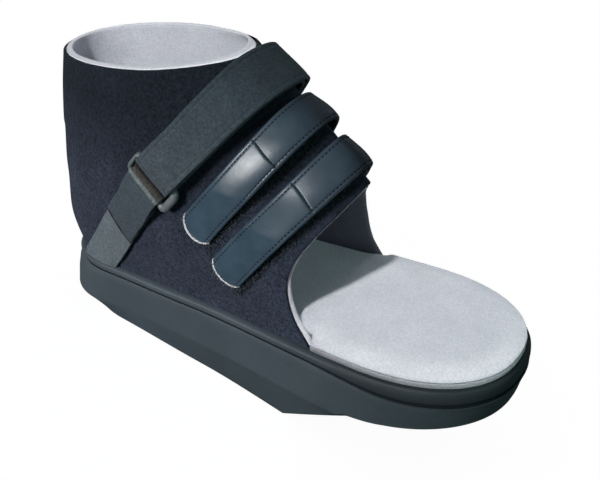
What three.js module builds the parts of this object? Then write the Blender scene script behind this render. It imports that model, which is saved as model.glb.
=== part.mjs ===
// Forefoot offloading shoe for the right foot.
// Millimetres. The shoe is laid out on its footbed: x from the heel to the toe, y across (the outer side of
// the foot is -y) and z up from the top of the sole. The whole is then pitched to stand on its wedge.

import * as THREE from 'three';

// Sole outline, seen from above
const SOLE_LENGTH = 287;
const HEEL_ARC_LENGTH = 46.8;
const HEEL_HALF_WIDTH = 40.7;
const HEEL_ROUNDNESS = 2.2;
const WAIST_X = 110;
const WAIST_HALF_WIDTH = 41.8;
const BALL_X = 222;
const BALL_HALF_WIDTH = 47.2;
const TOE_ROUNDNESS = 2.25;

// Sole, seen from the side
const FOOTBED_PITCH = THREE.MathUtils.degToRad(6.43);
const HEEL_HEIGHT = 36.7;
const WEDGE_APEX_X = 171;
const WEDGE_FRONT_X = 215;
const WEDGE_FRONT_DEPTH = 34;
const SLAB_DEPTH_AT_HEEL = 28;
const TOE_DEPTH = 24;
const HEEL_BEVEL_LENGTH = 18;
const HEEL_BEVEL_RISE = 8;
const WALL_DRAFT = 1.8;
const TOE_UNDERCUT = 9;
const HEEL_FLARE = 8.5;
const HEEL_FLARE_LENGTH = 62;

// Footbed layers
const SEAT_GAP = 0.3;
const INSOLE_BASE_THICK = 3;
const INSOLE_COVER_THICK = 2.6;
const INSOLE_EDGE_INSET = 2.2;
const INSOLE_STEP_X = 199;
const INSOLE_STEP_LENGTH = 3;

// Walls of the upper
const UPPER_THICK = 1.6;
const LINING_THICK = 3.2;
const WALL_INSET = 3;
const WALL_BLEND_HEIGHT = 45;
const RIDGE_SLANT = 1.35;
const RIDGE_EASING = 0.06;
const COLLAR_HEIGHT = 124;
const COLLAR_RISE = 0.05;
const COLLAR_CENTRE_X = 79;
const LINING_RIM_RISE = 2.4;

// The front of the collar leans toward the inner side of the foot
const COLLAR_LEAN = 3.5;
const LEAN_START_X = 98;
const LEAN_LENGTH = 32;
const LEAN_START_HEIGHT = 106;
const LEAN_RISE = 24;

// Level sections of the upper: where its back, its widest place and its instep ridge stand at each height
const SECTIONS = [
  { height: 0, back: 3, wide: 110, front: 285, half: 43, heelRound: 2.3, ridgeRound: 3.5 },
  { height: 25, back: -6, wide: 102, front: 272, half: 44, heelRound: 2.2, ridgeRound: 3.3 },
  { height: 50, back: -3.5, wide: 95, front: 228, half: 43.5, heelRound: 2.1, ridgeRound: 2.2 },
  { height: 75, back: 2, wide: 88, front: 205, half: 41.5, heelRound: 2, ridgeRound: 1.4 },
  { height: 100, back: 9.5, wide: 82, front: 182.5, half: 38.3, heelRound: 2, ridgeRound: 1.4 },
  { height: 115, back: 15, wide: 80, front: 159, half: 36, heelRound: 2, ridgeRound: 1.75 },
  { height: 132, back: 21, wide: 79, front: 131.5, half: 33.5, heelRound: 2, ridgeRound: 2.05 },
];

// Front edge of the upper, from the sole up to the instep ridge
const FRONT_EDGE = [
  { height: 0, x: 194.5 },
  { height: 6, x: 190.5 },
  { height: 14, x: 186 },
  { height: 24, x: 183.4 },
  { height: 34, x: 182.7 },
  { height: 44, x: 184.8 },
  { height: 54, x: 190.5 },
  { height: 64, x: 198 },
  { height: 74, x: 205 },
  { height: 82, x: 210 },
];

// Straps lie in slanted bands. Seen from the side, a band climbs forward at its angle, and its offset is the
// distance of its middle line from the corner of the heel, square to that climb.
const LEATHER_THICK = 2.2;
const LEATHER_HALF_WIDTH = 9.8;
const LEATHER_LIFT = 2.2;
const UPPER_STRAP = { angle: THREE.MathUtils.degToRad(50.6), offset: 68.7, nearEnd: 117.5, farEnd: 130 };
const LOWER_STRAP = { angle: THREE.MathUtils.degToRad(49.4), offset: 92, nearEnd: 113.5, farEnd: 126 };
const STRAP_GAP = 0.4;
const RIDGE_CLEARANCE = 0.6;

const WEBBING_THICK = 1.6;
const ANKLE_HALF_WIDTH = 12;
const ANKLE_LIFT = 1.6;
const ANKLE_FLARE = 3;
const FLARE_SHARPNESS = 7;
const ANKLE_STRAP = { angle: THREE.MathUtils.degToRad(45.5), offset: 24.2, farEnd: 55, freeEnd: 0.62 };
const LAYER_GAP = 0.5;

const TAB_THICK = 1.4;
const TAB_HALF_WIDTH = 11.2;
const TAB = { angle: THREE.MathUtils.degToRad(47.5), offset: 28.6 };
const TAB_GAP = 0.4;
const TAB_FOOT_GAP = 0.35;
const TAB_BASE_TOP = 86;
const TAB_RETURN_START = 89;
const TAB_STEP_MID = 77.7;
const TAB_STEP_SLANT = -0.28;
const TAB_RAMP_LENGTH = 24;

// Ring between the ankle strap and its tab
const RING_CENTRE_ALONG = 126;
const RING_BAR_RADIUS = 1.7;
const RING_BAR_SPACING = 11;
const RING_HALF_LENGTH = 14.6;
const RING_ACROSS = 0.3;
const RING_CORNER_RADIUS = 2.4;
const RING_STAND_OFF = 4;
const FOLD_CLEARANCE = 0.32;

// Mesh fineness
const WALL_COLUMNS = 44;
const WALL_EDGE_ROWS = 9;
const WALL_COLLAR_ROWS = 8;
const STRAP_STEPS = 13;
const STRAP_CROSS_STEPS = 3;
const TAB_CROSS_STEPS = 4;
const FOLD_STEPS = 8;
const RIDGE_CLUSTER = 1.6;

function clamp01(t) {
  return Math.min(1, Math.max(0, t));
}

function smoothStep(t) {
  const c = clamp01(t);
  return c * c * (3 - 2 * c);
}

function mix(a, b, t) {
  return a + (b - a) * t;
}

function steps(count) {
  return Array.from({ length: count + 1 }, (_, i) => i / count);
}

// Smooth curve through one column of a table, without overshoot between rows
function column(rows, key, at, value) {
  const last = rows.length - 2;
  let i = 0;
  while (i < last && at > rows[i + 1][key]) i += 1;
  const slope = (k) => (rows[k + 1][value] - rows[k][value]) / (rows[k + 1][key] - rows[k][key]);
  const tangent = (k) => {
    if (k === 0) return slope(0);
    if (k === rows.length - 1) return slope(k - 1);
    const before = slope(k - 1);
    const after = slope(k);
    return before * after <= 0 ? 0 : (2 * before * after) / (before + after);
  };
  const span = rows[i + 1][key] - rows[i][key];
  const t = (at - rows[i][key]) / span;
  const t2 = t * t;
  const t3 = t2 * t;
  const start = (2 * t3 - 3 * t2 + 1) * rows[i][value] + (t3 - 2 * t2 + t) * span * tangent(i);
  return start + (3 * t2 - 2 * t3) * rows[i + 1][value] + (t3 - t2) * span * tangent(i + 1);
}

// Outline of the sole
function soleHalfWidth(x) {
  if (x < HEEL_ARC_LENGTH) {
    const u = clamp01((HEEL_ARC_LENGTH - x) / HEEL_ARC_LENGTH);
    return HEEL_HALF_WIDTH * (1 - u ** HEEL_ROUNDNESS) ** (1 / HEEL_ROUNDNESS);
  }
  if (x < WAIST_X) {
    const t = smoothStep((x - HEEL_ARC_LENGTH) / (WAIST_X - HEEL_ARC_LENGTH));
    return mix(HEEL_HALF_WIDTH, WAIST_HALF_WIDTH, t);
  }
  if (x < BALL_X) {
    return mix(WAIST_HALF_WIDTH, BALL_HALF_WIDTH, smoothStep((x - WAIST_X) / (BALL_X - WAIST_X)));
  }
  const v = clamp01((x - BALL_X) / (SOLE_LENGTH - BALL_X));
  return BALL_HALF_WIDTH * (1 - v ** TOE_ROUNDNESS) ** (1 / TOE_ROUNDNESS);
}

// Places along the outline from the heel's back to the toe's tip, close together where it turns
function outlineStations() {
  const heel = steps(9).map((t) => HEEL_ARC_LENGTH * (1 - Math.cos((t * Math.PI) / 2)));
  const step = [INSOLE_STEP_X, INSOLE_STEP_X + INSOLE_STEP_LENGTH];
  const waist = [70, 95, 120, 146, WEDGE_APEX_X, 188, ...step, WEDGE_FRONT_X];
  const toe = steps(11).map((t) => BALL_X + (SOLE_LENGTH - BALL_X) * Math.sin((t * Math.PI) / 2));
  return [...heel, ...waist, ...toe];
}

// A point of the outline moved in by an inset, square to the outline
function insetPoint(x, inset) {
  const step = 0.05;
  const atTip = x < step || x > SOLE_LENGTH - step;
  if (atTip) return { x: x < step ? inset : SOLE_LENGTH - inset, y: 0 };
  const lean = (soleHalfWidth(x + step) - soleHalfWidth(x - step)) / (2 * step);
  const length = Math.hypot(1, lean);
  const y = soleHalfWidth(x) - inset / length;
  return { x: x + (inset * lean) / length, y: Math.max(y, 0.02) };
}

// How deep the underside lies below the footbed
function groundDepth(x) {
  const flat = HEEL_HEIGHT / Math.cos(FOOTBED_PITCH) + x * Math.tan(FOOTBED_PITCH);
  const bevel = clamp01(1 - x / HEEL_BEVEL_LENGTH);
  return flat - HEEL_BEVEL_RISE * bevel * bevel;
}

function undersideDepth(x) {
  const apex = WEDGE_APEX_X + 0.3;
  if (x <= apex) return groundDepth(x);
  if (x <= WEDGE_FRONT_X) {
    return mix(groundDepth(apex), WEDGE_FRONT_DEPTH, (x - apex) / (WEDGE_FRONT_X - apex));
  }
  return mix(WEDGE_FRONT_DEPTH, TOE_DEPTH, (x - WEDGE_FRONT_X) / (SOLE_LENGTH - WEDGE_FRONT_X));
}

function heelShare(x) {
  return 1 - smoothStep(x / HEEL_FLARE_LENGTH);
}

function toeShare(x) {
  return smoothStep((x - BALL_X) / (SOLE_LENGTH - BALL_X));
}

// Depth of the crease between the slab's wall and the wedge below it
function creaseDepth(x) {
  const slab = mix(SLAB_DEPTH_AT_HEEL, WEDGE_FRONT_DEPTH, clamp01(x / WEDGE_FRONT_X));
  return Math.min(slab, 0.9 * undersideDepth(x));
}

// Turn a list of points and triangles into a mesh that faces out
function meshFrom(name, points, triangles, material) {
  let volume = 0;
  for (const [a, b, c] of triangles) {
    volume += points[a].dot(new THREE.Vector3().crossVectors(points[b], points[c]));
  }
  const index = triangles.flatMap(([a, b, c]) => (volume > 0 ? [a, b, c] : [a, c, b]));
  const geometry = new THREE.BufferGeometry();
  geometry.setAttribute('position', new THREE.Float32BufferAttribute(points.flatMap((p) => p.toArray()), 3));
  geometry.setIndex(index);
  geometry.computeVertexNormals();
  const mesh = new THREE.Mesh(geometry, material);
  mesh.name = name;
  return mesh;
}

// A point of the outline drawn in toward its middle, as the walls are
function drawnInPoint(x, inset) {
  const along = inset + (x / SOLE_LENGTH) * (SOLE_LENGTH - 2 * inset);
  return { x: along, y: soleHalfWidth(x) * (1 - inset / WAIST_HALF_WIDTH) };
}

// A solid between stacked rings that follow the outline; each level gives an inset and a height at any x
function contourSolid(name, levels, place, material) {
  const stations = outlineStations();
  const last = stations.length - 1;
  const points = [];
  const rings = levels.map((level) => {
    const near = stations.map((x) => {
      const p = place(x, level.inset(x));
      return new THREE.Vector3(p.x, -p.y, level.height(p.x));
    });
    const far = near.slice(1, last).reverse().map((p) => new THREE.Vector3(p.x, -p.y, p.z));
    const first = points.length;
    points.push(...near, ...far);
    return first;
  });
  const around = 2 * last;
  const triangles = [];
  for (let k = 0; k + 1 < rings.length; k += 1) {
    for (let i = 0; i < around; i += 1) {
      const j = (i + 1) % around;
      triangles.push([rings[k] + i, rings[k] + j, rings[k + 1] + j]);
      triangles.push([rings[k] + i, rings[k + 1] + j, rings[k + 1] + i]);
    }
  }
  const cap = (first, flip) => {
    for (let i = 0; i < last; i += 1) {
      const far = (k) => first + ((around - k) % around);
      const ladder = [[first + i, far(i), far(i + 1)], [first + i, far(i + 1), first + i + 1]];
      for (const [a, b, c] of ladder) {
        if (a !== b && b !== c && a !== c) triangles.push(flip ? [a, c, b] : [a, b, c]);
      }
    }
  };
  cap(rings[0], false);
  cap(rings[rings.length - 1], true);
  return meshFrom(name, points, triangles, material);
}

// The sole: rolled lip, groove, slab wall, crease, wedge wall, underside
function makeSole(material) {
  const flat = (inset, depth) => ({ inset: () => inset, height: () => -depth });
  const levels = [
    flat(1.6, 0),
    flat(0.4, 0.5),
    flat(0, 1.6),
    flat(0, 3.4),
    flat(0.3, 4.2),
    flat(1.2, 4.8),
    flat(0.4, 5.6),
    { inset: (x) => 0.1 - 0.25 * HEEL_FLARE * heelShare(x), height: () => -9 },
    {
      inset: (x) => mix(0.6, 1.4, toeShare(x)) - 0.65 * HEEL_FLARE * heelShare(x),
      height: (x) => -0.62 * creaseDepth(x),
    },
    {
      inset: (x) => mix(1, 3.6, toeShare(x)) - HEEL_FLARE * heelShare(x),
      height: (x) => -creaseDepth(x),
    },
    {
      inset: (x) => mix(1 + WALL_DRAFT, TOE_UNDERCUT, toeShare(x)),
      height: (x) => -undersideDepth(x),
    },
  ];
  return contourSolid('sole', levels, insetPoint, material);
}

// The footbed is narrower between the walls than in front of them
function insoleInset(x) {
  const between = WALL_INSET + UPPER_THICK + SEAT_GAP + LINING_THICK + SEAT_GAP;
  return mix(between, INSOLE_EDGE_INSET, smoothStep((x - INSOLE_STEP_X) / INSOLE_STEP_LENGTH));
}

function makeInsoleBase(material) {
  const bottom = SEAT_GAP;
  const top = bottom + INSOLE_BASE_THICK;
  const levels = [
    { inset: insoleInset, height: () => top },
    { inset: insoleInset, height: () => bottom },
  ];
  return contourSolid('insole_base', levels, drawnInPoint, material);
}

function makeInsoleCover(material) {
  const bottom = SEAT_GAP + INSOLE_BASE_THICK + SEAT_GAP;
  const top = bottom + INSOLE_COVER_THICK;
  const levels = [
    { inset: (x) => insoleInset(x) + 1.8, height: () => top },
    { inset: (x) => insoleInset(x) + 0.6, height: () => top - 0.5 },
    { inset: (x) => insoleInset(x) + 0.1, height: () => top - 1.5 },
    { inset: (x) => insoleInset(x) + 0.2, height: () => bottom },
  ];
  return contourSolid('insole_cover', levels, drawnInPoint, material);
}

// One level section of the upper, moved in (or out, if negative) by an inset
function sectionAt(height, inset) {
  const value = (key) => column(SECTIONS, 'height', height, key);
  return {
    back: value('back') + inset,
    wide: value('wide'),
    front: value('front') - RIDGE_SLANT * inset,
    half: value('half') - inset,
    heelRound: value('heelRound'),
    ridgeRound: value('ridgeRound') + RIDGE_EASING * Math.max(0, -inset),
  };
}

// Half the width of the upper at a place seen from the side
function wallHalfWidth(x, height, inset) {
  const s = sectionAt(height, inset);
  const behind = x < s.wide;
  const reach = behind ? (s.wide - x) / (s.wide - s.back) : (x - s.wide) / (s.front - s.wide);
  const roundness = behind ? s.heelRound : s.ridgeRound;
  const egg = s.half * (1 - clamp01(reach) ** roundness) ** (1 / roundness);
  const margin = WALL_INSET + inset;
  const along = clamp01((x - s.back) / (SOLE_LENGTH - 2 * margin));
  const foot = soleHalfWidth(along * SOLE_LENGTH) * (1 - margin / WAIST_HALF_WIDTH);
  return mix(foot, egg, smoothStep(height / WALL_BLEND_HEIGHT));
}

function frontEdgeX(height) {
  return column(FRONT_EDGE, 'height', height, 'x');
}

// Where the front edge of a wall meets the instep ridge
function throatHeight(inset) {
  let low = 40;
  let high = 81;
  for (let i = 0; i < 40; i += 1) {
    const middle = (low + high) / 2;
    if (sectionAt(middle, inset).front > frontEdgeX(middle)) low = middle;
    else high = middle;
  }
  return low;
}

function collarLean(x, height) {
  const forward = smoothStep((x - LEAN_START_X) / LEAN_LENGTH);
  return COLLAR_LEAN * forward * smoothStep((height - LEAN_START_HEIGHT) / LEAN_RISE);
}

// A place on the upper's wall, where a negative side is the outer side of the foot
function wallSpot(x, height, inset, side) {
  const y = Math.sign(side) * wallHalfWidth(x, height, inset);
  return new THREE.Vector3(x, y + collarLean(x, height), height);
}

function wallPoint(turn, height, inset) {
  const s = sectionAt(height, inset);
  const c = Math.cos(Math.abs(turn));
  const x = c > 0 ? s.wide - (s.wide - s.back) * c : s.wide - (s.front - s.wide) * c;
  return wallSpot(x, height, inset, turn);
}

// One face of a wall: rows up from the sole, columns from the near front edge round the heel to the far one
function wallFace(inset, rimRise) {
  const throat = throatHeight(inset);
  const rows = [];
  for (let r = 0; r <= WALL_EDGE_ROWS + WALL_COLLAR_ROWS; r += 1) {
    const open = r < WALL_EDGE_ROWS;
    const level = mix(SEAT_GAP, throat, Math.min(1, r / WALL_EDGE_ROWS));
    const s = sectionAt(level, inset);
    const reach = clamp01((frontEdgeX(level) - s.wide) / (s.front - s.wide));
    const limit = open ? Math.PI - Math.acos(reach) : Math.PI;
    const row = steps(WALL_COLUMNS).map((u) => {
      const turn = (2 * u - 1) * limit;
      let p = wallPoint(turn, level, inset);
      for (let pass = 0; pass < 3 && !open; pass += 1) {
        const top = COLLAR_HEIGHT + rimRise + COLLAR_RISE * (p.x - COLLAR_CENTRE_X);
        p = wallPoint(turn, mix(throat, top, (r - WALL_EDGE_ROWS) / WALL_COLLAR_ROWS), inset);
      }
      return p;
    });
    rows.push(row);
  }
  return rows;
}

// A wall between an outer and an inner face, closed into a tube above the throat
function wallSolid(name, outer, inner, material) {
  const top = outer.length - 1;
  const across = outer[0].length - 1;
  const stride = across + 1;
  const points = [...outer.flat(), ...inner.flat()];
  const offset = outer.flat().length;
  const at = (r, c) => r * stride + (r >= WALL_EDGE_ROWS && c === across ? 0 : c);
  const out = at;
  const inn = (r, c) => offset + at(r, c);
  const triangles = [];
  const quad = (a, b, c, d) => triangles.push([a, b, c], [a, c, d]);
  for (let r = 0; r < top; r += 1) {
    for (let c = 0; c < across; c += 1) {
      quad(out(r, c), out(r + 1, c), out(r + 1, c + 1), out(r, c + 1));
      quad(inn(r, c), inn(r, c + 1), inn(r + 1, c + 1), inn(r + 1, c));
    }
  }
  for (let c = 0; c < across; c += 1) {
    quad(out(0, c), out(0, c + 1), inn(0, c + 1), inn(0, c));
    quad(out(top, c + 1), out(top, c), inn(top, c), inn(top, c + 1));
  }
  for (let r = 0; r < WALL_EDGE_ROWS; r += 1) {
    quad(out(r + 1, 0), out(r, 0), inn(r, 0), inn(r + 1, 0));
    quad(out(r, across), out(r + 1, across), inn(r + 1, across), inn(r, across));
  }
  return meshFrom(name, ...packPoints(points, triangles), material);
}

// Drop points that no triangle uses
function packPoints(points, triangles) {
  const used = new Map();
  const kept = [];
  const packed = triangles.map((corners) => corners.map((i) => {
    if (!used.has(i)) {
      used.set(i, kept.length);
      kept.push(points[i]);
    }
    return used.get(i);
  }));
  return [kept, packed];
}

function makeUpper(material) {
  return wallSolid('upper', wallFace(0, 0), wallFace(UPPER_THICK, 0), material);
}

function makeLining(material) {
  const start = UPPER_THICK + SEAT_GAP;
  const outer = wallFace(start, LINING_RIM_RISE);
  const inner = wallFace(start + LINING_THICK, LINING_RIM_RISE);
  return wallSolid('lining', outer, inner, material);
}

// Places on a band, seen from the side: along its climb and across it
function bandSpot(band, along, across) {
  const c = Math.cos(band.angle);
  const s = Math.sin(band.angle);
  const square = band.offset + across;
  return { x: c * along + s * square, height: s * along - c * square };
}

function bandPoint(band, along, across, lift, side) {
  const spot = bandSpot(band, along, across);
  return wallSpot(spot.x, spot.height, -lift, side);
}

// How far up its climb a band meets the instep ridge
function ridgeAlong(band, across, lift) {
  let low = 100;
  let high = 260;
  for (let i = 0; i < 40; i += 1) {
    const middle = (low + high) / 2;
    const spot = bandSpot(band, middle, across);
    if (sectionAt(spot.height, -lift).front > spot.x) low = middle;
    else high = middle;
  }
  return low;
}

// A strip solid from a grid of paired points: rows along it, columns across it
function stripSolid(name, faceA, faceB, material) {
  const rows = faceA.length - 1;
  const cols = faceA[0].length - 1;
  const points = [...faceA.flat(), ...faceB.flat()];
  const offset = faceA.flat().length;
  const a = (r, c) => r * (cols + 1) + c;
  const b = (r, c) => offset + a(r, c);
  const triangles = [];
  const quad = (i, j, k, l) => triangles.push([i, j, k], [i, k, l]);
  for (let r = 0; r < rows; r += 1) {
    for (let c = 0; c < cols; c += 1) {
      quad(a(r, c), a(r + 1, c), a(r + 1, c + 1), a(r, c + 1));
      quad(b(r, c), b(r, c + 1), b(r + 1, c + 1), b(r + 1, c));
    }
    quad(a(r + 1, 0), a(r, 0), b(r, 0), b(r + 1, 0));
    quad(a(r, cols), a(r + 1, cols), b(r + 1, cols), b(r, cols));
  }
  for (let c = 0; c < cols; c += 1) {
    quad(a(0, c), a(0, c + 1), b(0, c + 1), b(0, c));
    quad(a(rows, c + 1), a(rows, c), b(rows, c), b(rows, c + 1));
  }
  return meshFrom(name, points, triangles, material);
}

// A strap from a path over the ridge. Each path point names a side, a share of the way from the ridge to that
// side's end, a shift along the band, a lift off the upper and the direction of the strap's thickness. Over
// the ridge the lower edge stands off by the edge lift, and the upper edge flares by the flare.
function strapSolid(name, band, path, size, edgeLift, endAlong, material) {
  const { halfWidth, thick, flare } = size;
  const across = steps(STRAP_CROSS_STEPS).map((t) => mix(-halfWidth, halfWidth, t));
  const face = (sign) => path.map((p) => across.map((q) => {
    const lower = smoothStep((q / halfWidth + 1) / 2);
    const nearness = clamp01(1 - p.share);
    const clear = RIDGE_CLEARANCE * nearness ** 2;
    const lift = p.lift + edgeLift(p) * lower + clear + sign * (thick / 2) * p.thickLift;
    const spread = q - flare * nearness ** FLARE_SHARPNESS * (1 - lower);
    const ridge = ridgeAlong(band, spread, lift);
    const reach = p.share * (ridge - endAlong(p.side, spread));
    const along = ridge - reach + p.shift + sign * (thick / 2) * p.thickShift;
    return bandPoint(band, along, spread, lift, p.side);
  }));
  return stripSolid(name, face(-1), face(1), material);
}

function layerPoint(side, share, lift) {
  return { side, share, shift: 0, lift, thickShift: 0, thickLift: 1 };
}

// Shares from the ridge to an end, close together at the ridge
function sharesFromRidge(count) {
  return steps(count).map((t) => t ** RIDGE_CLUSTER);
}

// A leather strap: rounded near end, straight sewn far end, lower edge standing off the upper
function makeLeatherStrap(name, band, material) {
  const lift = STRAP_GAP + LEATHER_THICK / 2;
  const down = sharesFromRidge(STRAP_STEPS);
  const near = [...down].reverse().map((f) => layerPoint(-1, f, lift));
  const far = down.slice(1).map((f) => layerPoint(1, f, lift));
  const rounding = (q) => LEATHER_HALF_WIDTH * (1 - Math.sqrt(1 - (0.93 * q / LEATHER_HALF_WIDTH) ** 2));
  const end = (side, q) => (side < 0 ? band.nearEnd + rounding(q) : band.farEnd);
  const edgeLift = (p) => LEATHER_LIFT * (1 - p.share) ** 1.2;
  const size = { halfWidth: LEATHER_HALF_WIDTH, thick: LEATHER_THICK, flare: 0 };
  return strapSolid(name, band, [...near, ...far], size, edgeLift, end, material);
}

// The bar of the ring that a fold turns round, as a place along a band at each place across it
function barAlong(band, q, shift) {
  const centre = bandSpot(TAB, RING_CENTRE_ALONG + shift, 0);
  const target = Math.cos(TAB.angle) * centre.x + Math.sin(TAB.angle) * centre.height;
  const origin = bandSpot(band, 0, q);
  const start = Math.cos(TAB.angle) * origin.x + Math.sin(TAB.angle) * origin.height;
  return (target - start) / Math.cos(TAB.angle - band.angle);
}

// The ankle strap: sewn on the far side, over the instep, round the ring and back over itself
function makeAnkleStrap(material) {
  const fold = RING_BAR_RADIUS + FOLD_CLEARANCE + WEBBING_THICK / 2;
  const under = RING_STAND_OFF - fold;
  const over = under + WEBBING_THICK + LAYER_GAP;
  const down = sharesFromRidge(STRAP_STEPS);
  const farUnder = down.slice(1).reverse().map((f) => layerPoint(1, f, under));
  const nearUnder = down.map((f) => layerPoint(-1, f, under));
  const turn = steps(FOLD_STEPS).slice(1, -1).map((t) => {
    const angle = Math.PI * t;
    const shift = -Math.sin(angle);
    const rise = -Math.cos(angle);
    return {
      side: -1,
      share: 1,
      shift: fold * shift,
      lift: RING_STAND_OFF + fold * rise,
      thickShift: -shift,
      thickLift: -rise,
    };
  });
  const flip = (p) => ({ ...p, thickLift: -1 });
  const ramp = (f) => mix(over, RING_STAND_OFF + fold, smoothStep((f - 0.55) / 0.45));
  const nearOver = [...down].reverse().map((f) => flip(layerPoint(-1, f, ramp(f))));
  const farOver = down.slice(1).map((f) => flip(layerPoint(1, f * ANKLE_STRAP.freeEnd, over)));
  const path = [...farUnder, ...nearUnder, ...turn, ...nearOver, ...farOver];
  const end = (side, q) => (side < 0 ? barAlong(ANKLE_STRAP, q, RING_BAR_SPACING / 2) : ANKLE_STRAP.farEnd);
  const edgeLift = (p) => ANKLE_LIFT * clamp01(1 - p.share) ** 1.5;
  const size = { halfWidth: ANKLE_HALF_WIDTH, thick: WEBBING_THICK, flare: ANKLE_FLARE };
  return strapSolid('ankle_strap', ANKLE_STRAP, path, size, edgeLift, end, material);
}

// The ring: a round bar led round a rectangle with rounded corners
function makeRing(material) {
  const halfSpacing = RING_BAR_SPACING / 2;
  const corners = [[1, 1], [-1, 1], [-1, -1], [1, -1]];
  const straight = RING_HALF_LENGTH - RING_CORNER_RADIUS;
  const path = corners.flatMap(([a, q], k) => {
    const bend = steps(4).map((t) => {
      const angle = (k + t) * (Math.PI / 2);
      return {
        along: a * (halfSpacing - RING_CORNER_RADIUS) + RING_CORNER_RADIUS * Math.cos(angle),
        across: q * straight + RING_CORNER_RADIUS * Math.sin(angle),
        angle,
      };
    });
    const bar = steps(4).slice(1, -1).map((t) => ({
      along: a * halfSpacing,
      across: q * straight * (1 - 2 * t),
      angle: (k + 1) * (Math.PI / 2),
    }));
    return a * q < 0 ? [...bend, ...bar] : bend;
  });
  const sides = 10;
  const points = path.flatMap((p) => Array.from({ length: sides }, (_, i) => {
    const around = (2 * Math.PI * i) / sides;
    const outward = RING_BAR_RADIUS * Math.cos(around);
    const along = RING_CENTRE_ALONG + p.along + outward * Math.cos(p.angle);
    const across = RING_ACROSS + p.across + outward * Math.sin(p.angle);
    return bandPoint(TAB, along, across, RING_STAND_OFF + RING_BAR_RADIUS * Math.sin(around), -1);
  }));
  const triangles = [];
  path.forEach((_, r) => {
    const next = (r + 1) % path.length;
    for (let i = 0; i < sides; i += 1) {
      const j = (i + 1) % sides;
      triangles.push([r * sides + i, next * sides + i, next * sides + j]);
      triangles.push([r * sides + i, next * sides + j, r * sides + j]);
    }
  });
  return meshFrom('strap_ring', points, triangles, material);
}

// A tab strip from a path of places along the band, each with a lift and the direction of its thickness
function tabSolid(name, path, material) {
  const across = steps(TAB_CROSS_STEPS).map((t) => mix(-TAB_HALF_WIDTH, TAB_HALF_WIDTH, t));
  const face = (sign) => path.map((p) => across.map((q) => {
    const lift = p.lift + sign * (TAB_THICK / 2) * p.thickLift;
    const along = p.along(q) + sign * (TAB_THICK / 2) * p.thickAlong;
    return bandPoint(TAB, along, q, lift, -1);
  }));
  return stripSolid(name, face(-1), face(1), material);
}

// The lower strip, from the top of the sole up under the loop
function makeTabBase(material) {
  const bottom = (q) => (SEAT_GAP + Math.cos(TAB.angle) * (TAB.offset + q)) / Math.sin(TAB.angle);
  const path = steps(10).map((t) => ({
    along: (q) => mix(bottom(q), TAB_BASE_TOP, t),
    lift: TAB_GAP + TAB_THICK / 2 + TAB_FOOT_GAP * (1 - t),
    thickAlong: 0,
    thickLift: 1,
  }));
  return tabSolid('ring_tab_base', path, material);
}

// The loop: a short return under the ring, a turn round its bar and an outer layer down over the lower strip
function makeTabLoop(material) {
  const fold = RING_BAR_RADIUS + FOLD_CLEARANCE + TAB_THICK / 2;
  const bar = RING_CENTRE_ALONG - RING_BAR_SPACING / 2;
  const under = RING_STAND_OFF - fold;
  const over = TAB_GAP + TAB_THICK + SEAT_GAP + TAB_THICK / 2;
  const back = steps(5).map((t) => ({
    along: () => mix(TAB_RETURN_START, bar, t),
    lift: under,
    thickAlong: 0,
    thickLift: 1,
  }));
  const turn = steps(FOLD_STEPS).slice(1, -1).map((t) => {
    const angle = Math.PI * t;
    return {
      along: () => bar + fold * Math.sin(angle),
      lift: RING_STAND_OFF - fold * Math.cos(angle),
      thickAlong: -Math.sin(angle),
      thickLift: Math.cos(angle),
    };
  });
  const front = steps(9).map((t) => ({
    along: (q) => mix(bar, TAB_STEP_MID + TAB_STEP_SLANT * q, t),
    lift: mix(RING_STAND_OFF + fold, over, smoothStep((t * (bar - TAB_STEP_MID)) / TAB_RAMP_LENGTH)),
    thickAlong: 0,
    thickLift: -1,
  }));
  return tabSolid('ring_tab', [...back, ...turn, ...front], material);
}

function finish(color, roughness) {
  return new THREE.MeshStandardMaterial({ color, roughness });
}

function makeShoe() {
  const shoe = new THREE.Group();
  shoe.name = 'shoe_on_footbed';
  shoe.add(makeSole(finish(0x4a5860, 0.8)));
  shoe.add(makeInsoleBase(finish(0x9a968c, 0.9)));
  shoe.add(makeInsoleCover(finish(0xd6d8de, 0.95)));
  shoe.add(makeUpper(finish(0x2c303c, 0.95)));
  shoe.add(makeLining(finish(0xd2d4da, 0.95)));
  shoe.add(makeLeatherStrap('instep_strap_upper', UPPER_STRAP, finish(0x34424e, 0.4)));
  shoe.add(makeLeatherStrap('instep_strap_lower', LOWER_STRAP, finish(0x34424e, 0.4)));
  shoe.add(makeAnkleStrap(finish(0x4c545c, 0.9)));
  shoe.add(makeRing(finish(0x7c8488, 0.5)));
  shoe.add(makeTabLoop(finish(0x58626a, 0.9)));
  shoe.add(makeTabBase(finish(0x626c72, 0.9)));
  return shoe;
}

// Pitch the shoe onto its wedge, and set the middle of its box over the origin
function standOnGround(shoe) {
  const stand = new THREE.Group();
  stand.name = 'forefoot_offloading_shoe';
  shoe.rotation.y = -FOOTBED_PITCH;
  shoe.position.z = HEEL_HEIGHT;
  stand.add(shoe);
  stand.updateMatrixWorld(true);
  const box = new THREE.Box3().setFromObject(stand, true);
  shoe.position.x -= (box.min.x + box.max.x) / 2;
  shoe.position.y -= (box.min.y + box.max.y) / 2;
  shoe.position.z -= box.min.z;
  stand.updateMatrixWorld(true);
  return stand;
}

export default standOnGround(makeShoe());
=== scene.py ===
"""Looks of the forefoot offloading shoe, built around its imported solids.

Shapes are worked out in millimetres on the footbed, as the solids are: x from the heel to the toe, y across
(the outer side of the foot is -y) and h up from the top of the sole. They are then pitched onto the wedge.
"""

import math

import bmesh
import bpy
import numpy as np
from mathutils import Matrix, Vector


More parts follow.
